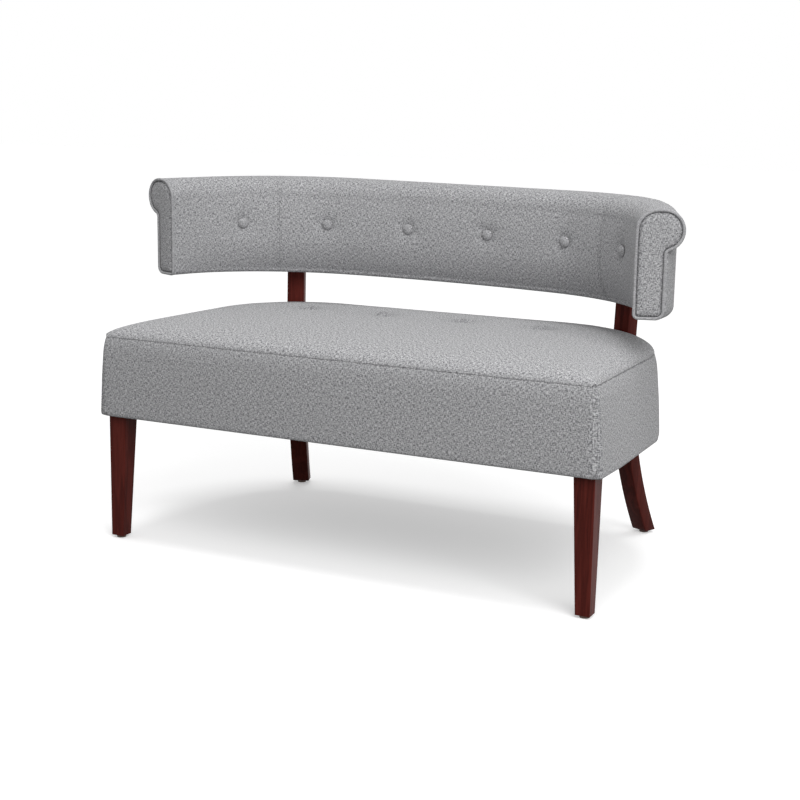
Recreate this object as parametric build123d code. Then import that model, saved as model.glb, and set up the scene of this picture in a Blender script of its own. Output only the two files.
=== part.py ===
from build123d import *
import os
from math import atan2, cos, degrees, radians, sin, sqrt

# Settee: an upholstered seat on four wooden legs, with a rolled back that curves round it.
# X runs to the right, Y to the back and Z up. The seat faces -Y. Sizes are in millimetres
# and degrees. The model is built about a working origin under the seat and is moved at the
# end, so that its origin is the middle of its footprint on the floor.

# Seat cover
seat_front = 300
seat_back = 314
seat_half_width = 551
seat_taper = 27
seat_flare = 14
seat_front_radius = 10
seat_back_radius = 262
seat_lower_edge = 273
seat_seam = 443
seat_crown = 45
crown_reach = 165
crown_steps = 8
band_mitre = 40
cloth = 2
padding = 12

# Seat frame
frame_bottom = 278
rail_height = 92
rail_thickness = 25
corner_rail_thickness = 48
wadding = 6
block_leg = 85
block_height = 42
brace_width = 40
dust_cloth = 1
block_screw_length = 45

# Seat springs and deck
spring_count = 6
spring_pitch = 130
spring_wire = 3.6
spring_swing = 24
spring_step = 24
spring_lead = 22
clip_size = 24
clip_height = 6
felt_thickness = 6

# Seat tufts
tuft_spacing = 188
tuft_line = 108
tuft_depth = 5
tuft_width = 70
tie_diameter = 3

# Front legs
leg_top = 43
leg_foot = 30
leg_side_inset = 14
leg_front_inset = 17
leg_edge = 2
glide_height = 6
glide_diameter = 20
bolt_diameter = 8
bolt_in_leg = 60
bolt_in_rail = 55

# Rear legs and posts
post_width = 40
post_thickness = 32
post_turn = 22
post_offset = 283
post_cover = 5
post_top = 690
waist_height = 440
waist_set_forward = 6
sweep_middle = 220
sweep_middle_back = 20
foot_back = 95
fit = 0.3
leg_bolt_heights = (300, 345)
leg_bolt_head = 14
leg_bolt_head_depth = 6
leg_bolt_length = 62

# Back, front face
back_front = 233
back_centre_radius = 1442
back_centre_turn = 10
back_corner_radius = 362
back_end_turn = 69.5
back_end_straight = 42
back_crown = 4

# Back, section
back_bottom = 543
back_top = 760
back_bottom_radius = 15
back_outer = 334
back_outer_flat = 265
back_outer_radius = 301
back_end_depth = 51
wing_start = 498
roll_radius = 41
roll_width = 86
roll_overhang = 6
neck_radius = 8
wing_seam = 406
station_count = 7

# Back, frame and foam
plate_thickness = 18
plate_lift = 2
plate_front = 24
plate_back = 16
end_plate_thickness = 12
end_plate_inset = 18
stud_size = 30
stud_places = (0, 200, 560)
screw_diameter = 4.5
screw_length = 50
screw_head = 9
screw_head_height = 3
centre_block = 235
shoulder_block = 460

# Buttons and piping
button_spacing = 196
button_height = 657
button_diameter = 25
button_thickness = 7
dent_depth = 8
dent_radius = 60
twine_diameter = 2
twine_length = 30
welt_diameter = 6.4
end_panel_thickness = 3

rail_top = frame_bottom + rail_height
deck = rail_top + clip_height
foam_bottom = deck + felt_thickness
rail_inset = cloth + wadding
side_inner = seat_half_width - rail_inset - rail_thickness
front_inner = rail_inset + rail_thickness - seat_front


# Seat forms
def seat_plan(inset=0, flare=0):
    front = inset - seat_front
    back = seat_back + flare - inset
    half = seat_half_width + flare - inset
    corners = [(-half, front), (half, front), (half - seat_taper, back), (seat_taper - half, back)]
    outline = make_face(Polyline(*corners, close=True))
    outline = fillet(outline.vertices().sort_by(Axis.Y)[:2], seat_front_radius + inset / 2)
    return fillet(outline.vertices().sort_by(Axis.Y)[-2:], seat_back_radius - inset)


def seat_block(inset, low, high):
    return extrude(Pos(0, 0, low) * seat_plan(inset), high - low)


def flared_block(inset, low, high):
    spread = seat_flare / (seat_seam - seat_lower_edge)
    ends = [Pos(0, 0, z) * seat_plan(inset, (seat_seam - z) * spread) for z in (low, high)]
    return loft(ends, ruled=True)


def crown(skin):
    bends = [radians(90 * i / crown_steps) for i in range(crown_steps + 1)]
    insets = [skin + (crown_reach - skin) * (1 - cos(bend)) for bend in bends]
    heights = [seat_seam + (seat_crown - skin) * sin(bend) for bend in bends]
    return loft([Pos(0, 0, z) * seat_plan(inset) for inset, z in zip(insets, heights)], ruled=True)


# Back forms: the front face is followed by its length from the middle of the settee
centre_length = back_centre_radius * radians(back_centre_turn)
corner_length = back_corner_radius * radians(back_end_turn - back_centre_turn)
back_reach = centre_length + corner_length + back_end_straight


def front_at(distance):
    along = abs(distance)
    side = 1 if distance >= 0 else -1
    if along <= centre_length:
        turn = along / back_centre_radius
        x = back_centre_radius * sin(turn)
        y = back_front - back_centre_radius * (1 - cos(turn))
    else:
        start = radians(back_centre_turn)
        bend = min(along, centre_length + corner_length) - centre_length
        rest = along - centre_length - bend
        turn = start + bend / back_corner_radius
        swing = back_centre_radius - back_corner_radius
        x = swing * sin(start) + back_corner_radius * sin(turn) + rest * cos(turn)
        y = back_front - back_centre_radius + swing * cos(start)
        y += back_corner_radius * cos(turn) - rest * sin(turn)
    return side * x, y, side * turn


def outer_reach(x, y, turn):
    flat = (back_outer - y) / cos(turn)
    if x + flat * sin(turn) <= back_outer_flat:
        return flat
    from_x = x - back_outer_flat
    from_y = y - back_outer + back_outer_radius
    half = from_x * sin(turn) + from_y * cos(turn)
    return sqrt(half * half - from_x ** 2 - from_y ** 2 + back_outer_radius ** 2) - half


def depth_at(distance):
    along = min(abs(distance), back_reach)
    x, y, turn = front_at(min(along, wing_start))
    depth = outer_reach(x, y, turn)
    share = max(0, along - wing_start) / (back_reach - wing_start)
    return depth + (back_end_depth - depth) * share


def back_plane(distance):
    x, y, turn = front_at(distance)
    return Plane((x, y, 0), x_dir=(sin(turn), cos(turn), 0), z_dir=(cos(turn), -sin(turn), 0))


def back_edges(distance, inset):
    middle = depth_at(distance) / 2
    depth = 2 * middle - inset
    roll = roll_radius - inset
    neck = neck_radius + inset
    corner = max(back_bottom_radius - inset, 1)
    low = back_bottom + inset
    roll_z = back_top - roll_radius
    roll_u = max(roll_width, 2 * middle + roll_overhang) - roll_radius
    across = roll_u - depth - neck
    rise = sqrt((roll + neck) ** 2 - across ** 2)
    lean = degrees(atan2(rise, across))
    bulge = back_crown * (1 - (distance / back_reach) ** 4)
    front = [
        Line((middle, low), (inset + corner, low)),
        CenterArc((inset + corner, low + corner), corner, 270, -90),
        front_line(inset, low + corner, roll_z, bulge),
        CenterArc((roll_radius, roll_z), roll, 180, -90),
        Line((roll_radius, roll_z + roll), (roll_u, roll_z + roll)),
        CenterArc((roll_u, roll_z), roll, 90, lean - 270),
    ]
    outer = [
        CenterArc((depth + neck, roll_z - rise), neck, lean, 180 - lean),
        Line((depth, roll_z - rise), (depth, low + corner)),
        CenterArc((depth - corner, low + corner), corner, 0, -90),
        Line((depth - corner, low), (middle, low)),
    ]
    return front, outer


def front_line(inset, low, high, bulge):
    if bulge <= 0:
        return Line((inset, low), (inset, high))
    return ThreePointArc((inset, low), (inset - bulge, (high + low) / 2), (inset, high))


def back_profile(distance, inset):
    front, outer = back_edges(distance, inset)
    return make_face([*front, *outer])


def cover_profile(distance, face):
    outside = back_edges(distance, 0)[face]
    inside = back_edges(distance, padding)[face]
    ends = [Line(outside[0] @ 0, inside[0] @ 0), Line(outside[-1] @ 1, inside[-1] @ 1)]
    return make_face([*outside, *inside, *ends])


def slab_profile(front, back, low, high):
    return Pos((front + back) / 2, (low + high) / 2) * Rectangle(back - front, high - low)


def back_run(profile, trim=0, ruled=False):
    reach = back_reach - trim
    places = [reach * i / station_count for i in range(-station_count, station_count + 1)]
    return loft([back_plane(place) * profile(place) for place in places], ruled=ruled)


def mirrored(part):
    return mirror(part, about=Plane.YZ)


def cut_all(part, tools):
    return part - [solid for tool in tools for solid in tool.solids()]


# Front legs with their glides and hanger bolts
leg_out = seat_half_width + seat_flare - leg_side_inset
leg_front = leg_front_inset - seat_front


def leg_square(size, z):
    return Pos(leg_out - size / 2, leg_front + size / 2, z) * Rectangle(size, size)


def front_leg():
    leg = loft([leg_square(leg_foot, glide_height), leg_square(leg_top, frame_bottom)], ruled=True)
    return fillet(leg.edges().filter_by(lambda edge: edge.length > leg_top * 2), leg_edge)


bolt_x = side_inner + rail_thickness / 2
bolt_y = front_inner + bolt_diameter
hanger_length = bolt_in_leg + bolt_in_rail
hanger_middle = frame_bottom + (bolt_in_rail - bolt_in_leg) / 2
hanger_bolt = Pos(bolt_x, bolt_y, hanger_middle) * Cylinder(bolt_diameter / 2, hanger_length)
front_leg_right = front_leg() - hanger_bolt

# Rear legs: one sabre leg and post, cut from a plank that is turned towards the settee's middle
turn = radians(post_turn)
post_plane = Plane(
    (post_offset * cos(turn), -post_offset * sin(turn), 0),
    x_dir=(sin(turn), cos(turn), 0),
    z_dir=(cos(turn), -sin(turn), 0),
)
post_line = outer_reach(post_plane.origin.X, post_plane.origin.Y, turn)
post_line -= cloth + post_cover + post_thickness / 2
waist = post_line - waist_set_forward


def leg_side(offset):
    sweep_points = [
        (waist + foot_back + offset, glide_height),
        (waist + sweep_middle_back + offset, sweep_middle),
        (waist + offset, waist_height),
    ]
    return [
        ThreePointArc(*sweep_points),
        Line((waist + offset, waist_height), (post_line + offset, back_bottom)),
        Line((post_line + offset, back_bottom), (post_line + offset, post_top)),
    ]


def post_solid(room=0):
    half = post_thickness / 2 + room
    front = leg_side(-half)
    back = leg_side(half)
    foot = Line(front[0] @ 0, back[0] @ 0)
    head = Line(front[2] @ 1, back[2] @ 1)
    side = make_face([*front, *back, foot, head])
    return extrude(post_plane * side, post_width / 2 + room, both=True)


def along_post(distance, height):
    return post_plane * Pos(distance, height, 0) * Rot(0, 90, 0)


def leg_bolt(height):
    face = waist + leg_offset_at(height) + post_thickness / 2
    shank = along_post(face - leg_bolt_length / 2, height)
    head = along_post(face - leg_bolt_head_depth / 2, height)
    return shank * Cylinder(bolt_diameter / 2, leg_bolt_length) + head * Cylinder(
        leg_bolt_head / 2, leg_bolt_head_depth
    )


def leg_offset_at(height):
    arc = leg_side(0)[0]
    share = (height - glide_height) / (waist_height - glide_height)
    return (arc @ share).X - waist


leg_bolts_right = [leg_bolt(height) for height in leg_bolt_heights]
leg_bolts = [*leg_bolts_right, *[mirrored(part) for part in leg_bolts_right]]
post_right = post_solid()
post_room = post_solid(fit)
rear_leg_right = cut_all(post_right, leg_bolts_right)
posts_room = [post_room, mirrored(post_room)]

glide_front = Pos(leg_out - leg_foot / 2, leg_front + leg_foot / 2, glide_height / 2)
glide_rear = post_plane * Pos(waist + foot_back, glide_height / 2, 0) * Rot(90, 0, 0)
glide = Cylinder(glide_diameter / 2, glide_height)
glides_right = [glide_front * glide, glide_rear * glide]

# Seat frame
corner_y = seat_back - seat_back_radius
corner_x = seat_half_width - seat_taper - seat_back_radius
huge = 4 * seat_half_width


def rail_ring(thickness):
    return seat_block(rail_inset, frame_bottom, rail_top) - seat_block(
        rail_inset + thickness, frame_bottom, rail_top
    )


def plan_box(x_low, x_high, y_low, y_high):
    size = (x_high - x_low, y_high - y_low, huge)
    return Pos((x_low + x_high) / 2, (y_low + y_high) / 2, 0) * Box(*size)


ring = rail_ring(rail_thickness)
corner_ring = rail_ring(corner_rail_thickness)
seat_front_rail = ring & plan_box(-huge, huge, -huge, front_inner)
seat_side_rail_right = ring & plan_box(0, huge, front_inner, corner_y)
seat_back_rail = ring & plan_box(-corner_x, corner_x, corner_y, huge)
seat_corner_rail_right = corner_ring & plan_box(corner_x, huge, corner_y, huge)
seat_corner_rail_right = cut_all(seat_corner_rail_right, [post_room, *leg_bolts_right])

brace_length = seat_back - rail_inset - rail_thickness - front_inner
seat_centre_brace = Pos(0, front_inner + brace_length / 2, frame_bottom + rail_height / 2) * Box(
    brace_width, brace_length, rail_height - clip_height
)

inner_edge = rail_inset + rail_thickness
block_triangle = make_face(
    Polyline(
        (side_inner - block_leg, front_inner),
        (seat_half_width, front_inner),
        (seat_half_width, front_inner + seat_half_width - side_inner + block_leg),
        close=True,
    )
)
block_room = seat_block(inner_edge, frame_bottom, frame_bottom + block_height)
front_block_right = extrude(Pos(0, 0, frame_bottom) * block_triangle, block_height) & block_room


def block_screw(height):
    face = (side_inner - block_leg / 2, front_inner + block_leg / 2, height)
    seat = Plane(face, z_dir=(1, -1, 0))
    shank = Pos(0, 0, block_screw_length / 2) * Cylinder(screw_diameter / 2, block_screw_length)
    head = Pos(0, 0, -screw_head_height / 2) * Cylinder(screw_head / 2, screw_head_height)
    return seat * (shank + head)


block_screws_right = [block_screw(frame_bottom + block_height * share) for share in (0.3, 0.7)]
front_block_right = cut_all(front_block_right, block_screws_right)
block_screws = [*block_screws_right, *[mirrored(screw) for screw in block_screws_right]]
seat_front_rail = cut_all(seat_front_rail, block_screws)
seat_side_rail_right = cut_all(seat_side_rail_right, [hanger_bolt, *block_screws_right])

# Springs and their clips, side by side from the front rail to the back rail
spring_x = [spring_pitch * (i - (spring_count - 1) / 2) for i in range(spring_count)]
spring_z = rail_top + spring_wire / 2
spring_start = rail_inset - seat_front
spring_end = seat_back - rail_inset - rail_thickness * 0.8


def spring(x):
    count = int((spring_end - spring_start - 2 * spring_lead) / spring_step)
    step = (spring_end - spring_start - 2 * spring_lead) / count
    turns = [
        (x + spring_swing / 2 * (-1) ** (i // 2), spring_start + spring_lead + step * ((i + 1) // 2))
        for i in range(1, 2 * count - 1)
    ]
    points = [(x, spring_start), (x, spring_start + spring_lead), *turns]
    points += [(x, spring_end - spring_lead), (x, spring_end)]
    path = Pos(0, 0, spring_z) * FilletPolyline(*points, radius=spring_wire * 1.4)
    start = Plane((x, spring_start, spring_z), z_dir=(0, 1, 0))
    return sweep(start * Circle(spring_wire / 2), path=path)


def spring_clip(x, y):
    block = Pos(x, y, rail_top + clip_height / 2) * Box(clip_size, clip_size / 2, clip_height)
    channel = Pos(x, y, spring_z) * Box(spring_wire, clip_size, spring_wire)
    return block - channel


seat_springs = [spring(x) for x in spring_x]
clip_y = (spring_start + clip_size / 4, spring_end - clip_size / 4)
spring_clips = [spring_clip(x, y) for x in spring_x for y in clip_y]

# Seat deck, foam and tufts
seat_top = seat_seam + seat_crown
tuft_places = [(tuft_spacing * (i - 1.5), tuft_line) for i in range(4)]
tuft_radius = ((tuft_width / 2) ** 2 + tuft_depth ** 2) / (2 * tuft_depth)
dent_centre = seat_top + tuft_radius - tuft_depth
tuft_dents = [Pos(x, y, dent_centre) * Sphere(tuft_radius) for x, y in tuft_places]
tie_length = seat_top - tuft_depth - deck
seat_tuft_ties = [
    Pos(x, y, deck + tie_length / 2) * Cylinder(tie_diameter / 2, tie_length) for x, y in tuft_places
]
deck_cuts = [*posts_room, *seat_tuft_ties]
spring_felt = cut_all(seat_block(rail_inset, deck, foam_bottom), deck_cuts)
seat_foam = cut_all(flared_block(cloth, foam_bottom, seat_seam) + crown(padding), deck_cuts)
border_wadding = flared_block(cloth, frame_bottom, foam_bottom)
border_wadding = cut_all(
    border_wadding - seat_block(rail_inset, frame_bottom, foam_bottom), [*posts_room, *leg_bolts]
)

# Seat cover: the crowned top panel, and bands that meet it at the seam
seat_top_panel = cut_all(crown(0), [crown(padding), *tuft_dents, *deck_cuts])
band_ring = flared_block(0, seat_lower_edge, seat_seam) - flared_block(cloth, seat_lower_edge, seat_seam)
band_ring = cut_all(band_ring, posts_room)


def front_zone(z, flare):
    half = seat_half_width + flare
    corners = [
        (-half - band_mitre, -seat_front - band_mitre),
        (half + band_mitre, -seat_front - band_mitre),
        (half - band_mitre, band_mitre - seat_front),
        (band_mitre - half, band_mitre - seat_front),
    ]
    return Pos(0, 0, z) * make_face(Polyline(*corners, close=True))


front_region = loft([front_zone(seat_lower_edge, seat_flare), front_zone(seat_seam, 0)], ruled=True)
seat_front_band = band_ring & front_region
side_left, back_band, side_right = (band_ring - front_region).solids().sort_by(Axis.X)

leg_square_room = plan_box(
    leg_out - leg_top - fit, leg_out + fit, leg_front - fit, leg_front + leg_top + fit
)
dust_cover = cut_all(
    flared_block(cloth, frame_bottom - dust_cloth, frame_bottom),
    [leg_square_room, mirrored(leg_square_room), *posts_room],
)

# Back frame: two curved plates held apart by studs, closed by a shaped plate at each end
plate_low = back_bottom + padding + plate_lift
plate_high = plate_low + plate_thickness


def plate(low):
    return back_run(
        lambda place: slab_profile(plate_front, depth_at(place) - plate_back, low, low + plate_thickness),
        trim=end_plate_thickness,
        ruled=True,
    )


def stud(place):
    middle = plate_front + stud_size / 2
    solid = Pos(middle, (plate_high + post_top) / 2, 0) * Box(stud_size, post_top - plate_high, stud_size)
    return back_plane(place) * solid


def screw_at(spot, flush, direction):
    head = Pos(0, 0, screw_head_height / 2) * Cylinder(screw_head / 2, screw_head_height)
    shank = Pos(0, 0, screw_length / 2) * Cylinder(screw_diameter / 2, screw_length)
    return Plane((spot.X, spot.Y, flush), z_dir=(0, 0, direction)) * (head + shank)


stud_runs = [side * place for place in stud_places for side in ((1,) if place == 0 else (-1, 1))]
back_studs = [stud(place) for place in stud_runs]
stud_spots = [solid.center() for solid in back_studs]
post_spot = (post_plane * Pos(post_line, 0, 0)).position
post_spots = [post_spot, Vector(-post_spot.X, post_spot.Y, post_spot.Z)]
plate_top = post_top + plate_thickness
back_screws = [screw_at(spot, plate_top, -1) for spot in [*stud_spots, *post_spots]]
back_screws += [screw_at(spot, plate_low, 1) for spot in stud_spots]
back_studs = [cut_all(solid, back_screws) for solid in back_studs]
rear_leg_right = cut_all(rear_leg_right, back_screws)
back_bottom_plate = cut_all(plate(plate_low), [*posts_room, *back_screws])
back_top_plate = cut_all(plate(post_top), back_screws)
end_plate_right = extrude(
    back_plane(back_reach) * back_profile(back_reach, end_plate_inset), -end_plate_thickness
)

# Buttons, set in dents along the middle of the back
button_runs = [button_spacing * (i - 2.5) for i in range(6)]
dent_floor = dent_depth - back_crown
button_seat = dent_floor - (button_diameter / 2) ** 2 / (2 * dent_radius) - fit


def button_plane(place, depth):
    frame = back_plane(place)
    spot = frame * Pos(depth, button_height, 0)
    return Plane(spot.position, z_dir=-frame.x_dir)


def button(place):
    disc = extrude(Circle(button_diameter / 2), button_thickness)
    rim = disc.edges().sort_by(Axis.Z)[-1]
    return button_plane(place, button_seat) * fillet(rim, button_thickness * 0.6)


def twine(place):
    middle = button_seat + twine_length / 2
    return button_plane(place, middle) * Cylinder(twine_diameter / 2, twine_length)


ball = Sphere(dent_radius)
back_dents = [button_plane(place, dent_floor - dent_radius) * ball for place in button_runs]
back_buttons = [button(place) for place in button_runs]
button_twines = [twine(place) for place in button_runs]

# Back foam, in blocks glued side by side
inner_pieces = [back_bottom_plate, back_top_plate, *back_studs, end_plate_right, mirrored(end_plate_right)]
back_foam = back_run(lambda place: back_profile(place, padding))
back_foam = cut_all(back_foam, [*inner_pieces, *posts_room, *back_screws, *button_twines])


def right_of(part, place):
    return split(part, bisect_by=back_plane(place), keep=Keep.TOP)


def left_of(part, place):
    return split(part, bisect_by=back_plane(place), keep=Keep.BOTTOM)


back_foam_centre = left_of(right_of(back_foam, -centre_block), centre_block)
back_foam_shoulder_right = left_of(right_of(back_foam, centre_block), shoulder_block)
back_foam_shoulder_left = right_of(left_of(back_foam, -centre_block), -shoulder_block)
back_foam_wing_right = right_of(back_foam, shoulder_block)
back_foam_wing_left = left_of(back_foam, -shoulder_block)

# Back cover: cloth quilted to its padding. The front panels wrap over the roll, and an outer
# panel closes the back below it
front_face, outer_face = 0, 1
back_outer_panel = cut_all(back_run(lambda place: cover_profile(place, outer_face)), posts_room)
front_cover = back_run(lambda place: cover_profile(place, front_face))
front_cover = cut_all(front_cover, [*back_dents, *posts_room, *button_twines])
back_centre_panel = left_of(right_of(front_cover, -wing_seam), wing_seam)
back_wing_panel_right = right_of(front_cover, wing_seam)
back_wing_panel_left = left_of(front_cover, -wing_seam)

# End panels with piping round their edges
end_plane = back_plane(back_reach)
end_panel_right = extrude(end_plane * back_profile(back_reach, welt_diameter + fit), end_panel_thickness)
welt_path = end_plane.offset(welt_diameter / 2) * back_profile(back_reach, welt_diameter / 2).wire()
welt_start = Plane(welt_path @ 0, z_dir=welt_path % 0)
welt_right = sweep(welt_start * Circle(welt_diameter / 2), path=welt_path)

nodes = {
    "front_leg_left": [mirrored(front_leg_right)],
    "front_leg_right": [front_leg_right],
    "rear_leg_left": [mirrored(rear_leg_right)],
    "rear_leg_right": [rear_leg_right],
    "foot_glides": [*glides_right, *[mirrored(part) for part in glides_right]],
    "front_leg_bolts": [hanger_bolt, mirrored(hanger_bolt)],
    "rear_leg_bolts": leg_bolts,
    "seat_front_rail": [seat_front_rail],
    "seat_back_rail": [seat_back_rail],
    "seat_side_rail_left": [mirrored(seat_side_rail_right)],
    "seat_side_rail_right": [seat_side_rail_right],
    "seat_corner_rail_left": [mirrored(seat_corner_rail_right)],
    "seat_corner_rail_right": [seat_corner_rail_right],
    "seat_centre_brace": [seat_centre_brace],
    "front_corner_block_left": [mirrored(front_block_right)],
    "front_corner_block_right": [front_block_right],
    "corner_block_screws": block_screws,
    "seat_springs": seat_springs,
    "spring_clips": spring_clips,
    "spring_felt": [spring_felt],
    "seat_foam": [seat_foam],
    "seat_border_wadding": [border_wadding],
    "seat_top_panel": [seat_top_panel],
    "seat_front_band": [seat_front_band],
    "seat_side_band_left": [side_left],
    "seat_side_band_right": [side_right],
    "seat_back_band": [back_band],
    "seat_tuft_ties": seat_tuft_ties,
    "dust_cover": [dust_cover],
    "back_bottom_plate": [back_bottom_plate],
    "back_top_plate": [back_top_plate],
    "back_studs": back_studs,
    "back_end_plate_left": [mirrored(end_plate_right)],
    "back_end_plate_right": [end_plate_right],
    "back_frame_screws": back_screws,
    "back_foam_centre": [back_foam_centre],
    "back_foam_shoulder_left": [back_foam_shoulder_left],
    "back_foam_shoulder_right": [back_foam_shoulder_right],
    "back_foam_wing_left": [back_foam_wing_left],
    "back_foam_wing_right": [back_foam_wing_right],
    "back_centre_panel": [back_centre_panel],
    "back_wing_panel_left": [back_wing_panel_left],
    "back_wing_panel_right": [back_wing_panel_right],
    "back_outer_panel": [back_outer_panel],
    "back_end_panel_left": [mirrored(end_panel_right)],
    "back_end_panel_right": [end_panel_right],
    "welt_cord_left": [mirrored(welt_right)],
    "welt_cord_right": [welt_right],
    "back_buttons": back_buttons,
    "button_twines": button_twines,
}

# Move the footprint's middle to the origin and write one file for each piece
solids = {name: [solid for part in parts for solid in part.solids()] for name, parts in nodes.items()}
boxes = [solid.bounding_box() for group in solids.values() for solid in group]
middle = (min(box.min.Y for box in boxes) + max(box.max.Y for box in boxes)) / 2
os.makedirs("parts", exist_ok=True)
for name, group in solids.items():
    export_step(Pos(0, -middle, 0) * Compound(group), f"parts/{name}.step")
print("footprint middle moved by", round(-middle, 3))
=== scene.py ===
import bpy
import bmesh
import numpy as np
from math import acos, atan2, cos, pi, radians, sin, sqrt, tan
from mathutils import Matrix, Vector, noise
from mathutils.geometry import delaunay_2d_cdt
from mathutils.kdtree import KDTree


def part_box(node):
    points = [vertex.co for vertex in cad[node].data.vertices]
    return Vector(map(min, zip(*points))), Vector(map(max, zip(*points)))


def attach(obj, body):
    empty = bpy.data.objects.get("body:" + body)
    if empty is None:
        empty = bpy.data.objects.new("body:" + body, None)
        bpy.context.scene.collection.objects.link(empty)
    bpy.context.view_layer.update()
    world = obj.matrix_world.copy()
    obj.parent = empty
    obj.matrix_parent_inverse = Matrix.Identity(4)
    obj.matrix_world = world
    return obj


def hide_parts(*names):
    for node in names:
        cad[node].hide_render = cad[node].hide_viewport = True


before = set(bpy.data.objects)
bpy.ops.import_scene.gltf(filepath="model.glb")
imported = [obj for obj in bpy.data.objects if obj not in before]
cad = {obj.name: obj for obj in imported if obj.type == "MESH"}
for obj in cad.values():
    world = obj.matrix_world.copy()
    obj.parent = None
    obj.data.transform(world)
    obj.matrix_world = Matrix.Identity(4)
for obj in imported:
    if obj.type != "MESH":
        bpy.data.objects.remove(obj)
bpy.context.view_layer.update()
scene = bpy.context.scene
scene.view_settings.view_transform = "Standard"
drawnFront = -300  # front of the seat in the drawing, which is in millimetres
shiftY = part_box("seat_top_panel")[0].y * 1000 - drawnFront
print("frame loaded with", len(cad), "CAD nodes")


# from the drawing's millimetres to the part's frame
def metres(points):
    placed = np.array(points, float)
    placed[:, 1] += shiftY
    return placed / 1000


def addPiece(name, points, faces, finish, uvs=None, marks=None):
    mesh = bpy.data.meshes.new(name)
    mesh.from_pydata([tuple(p) for p in points], [], faces)
    if uvs is not None:
        layer = mesh.uv_layers.new(name="cloth")
        layer.data.foreach_set("uv", np.array(uvs, np.float32).ravel())
    for label, values in (marks or {}).items():
        mark = mesh.attributes.new(label, "FLOAT", "POINT")
        mark.data.foreach_set("value", np.array(values, np.float32))
    work = bmesh.new()
    work.from_mesh(mesh)
    bmesh.ops.recalc_face_normals(work, faces=work.faces)
    work.to_mesh(mesh)
    work.free()
    mesh.polygons.foreach_set("use_smooth", [True] * len(mesh.polygons))
    mesh.materials.append(finish)
    piece = bpy.data.objects.new(name, mesh)
    scene.collection.objects.link(piece)
    return piece


def settle(piece, slotName, *standsFor):
    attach(piece, "root")
    if standsFor:
        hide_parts(*standsFor)
    return piece


def unit(vector):
    return vector / np.linalg.norm(vector)


# shader groups and the small nodes they are made of

def makeGroup(name, inputs, outputs):
    group = bpy.data.node_groups.new(name, "ShaderNodeTree")
    for label, kind, value in inputs:
        socket = group.interface.new_socket(label, in_out="INPUT", socket_type=kind)
        if value is not None:
            socket.default_value = value
    for label, kind in outputs:
        group.interface.new_socket(label, in_out="OUTPUT", socket_type=kind)
    return group, group.nodes.new("NodeGroupInput"), group.nodes.new("NodeGroupOutput")


def mathNode(group, operation, first, second=None):
    node = group.nodes.new("ShaderNodeMath")
    node.operation = operation
    for socket, value in zip(node.inputs, (first, second)):
        if isinstance(value, bpy.types.NodeSocket):
            group.links.new(value, socket)
        elif value is not None:
            socket.default_value = value
    return node.outputs[0]


def times(group, first, second):
    return mathNode(group, "MULTIPLY", first, second)


def plus(group, first, second):
    return mathNode(group, "ADD", first, second)


def noiseNode(group, vector, scale, detail, roughness=0.5):
    node = group.nodes.new("ShaderNodeTexNoise")
    group.links.new(vector, node.inputs["Vector"])
    node.inputs["Scale"].default_value = scale
    node.inputs["Detail"].default_value = detail
    node.inputs["Roughness"].default_value = roughness
    return node.outputs["Fac"]


def vectorNode(group, x, y, z=0.0):
    node = group.nodes.new("ShaderNodeCombineXYZ")
    for socket, value in zip(node.inputs, (x, y, z)):
        if isinstance(value, bpy.types.NodeSocket):
            group.links.new(value, socket)
        else:
            socket.default_value = value
    return node.outputs[0]


def rangeNode(group, value, low, high, newLow, newHigh):
    node = group.nodes.new("ShaderNodeMapRange")
    group.links.new(value, node.inputs["Value"])
    for label, number in zip(("From Min", "From Max", "To Min", "To Max"), (low, high, newLow, newHigh)):
        node.inputs[label].default_value = number
    return node.outputs["Result"]


# plain weave: stretch and size shape the yarns, the shares mix them into a tone, and the painted shade input
# darkens that tone
weave = {"stretch": 0.22, "yarnSize": 0.62, "fleckSize": 0.5, "yarn": 0.4, "streaks": 0.45, "fleck": 0.15,
         "contrast": 6.0, "paintedShadeDark": 0.62, "ridge": 0.6, "fuzz": 0.8}


def scaledParts(group, vector, scale):
    scaled = group.nodes.new("ShaderNodeVectorMath")
    scaled.operation = "SCALE"
    group.links.new(vector, scaled.inputs[0])
    group.links.new(scale, scaled.inputs["Scale"])
    split = group.nodes.new("ShaderNodeSeparateXYZ")
    group.links.new(scaled.outputs[0], split.inputs[0])
    return scaled.outputs[0], split.outputs


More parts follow.
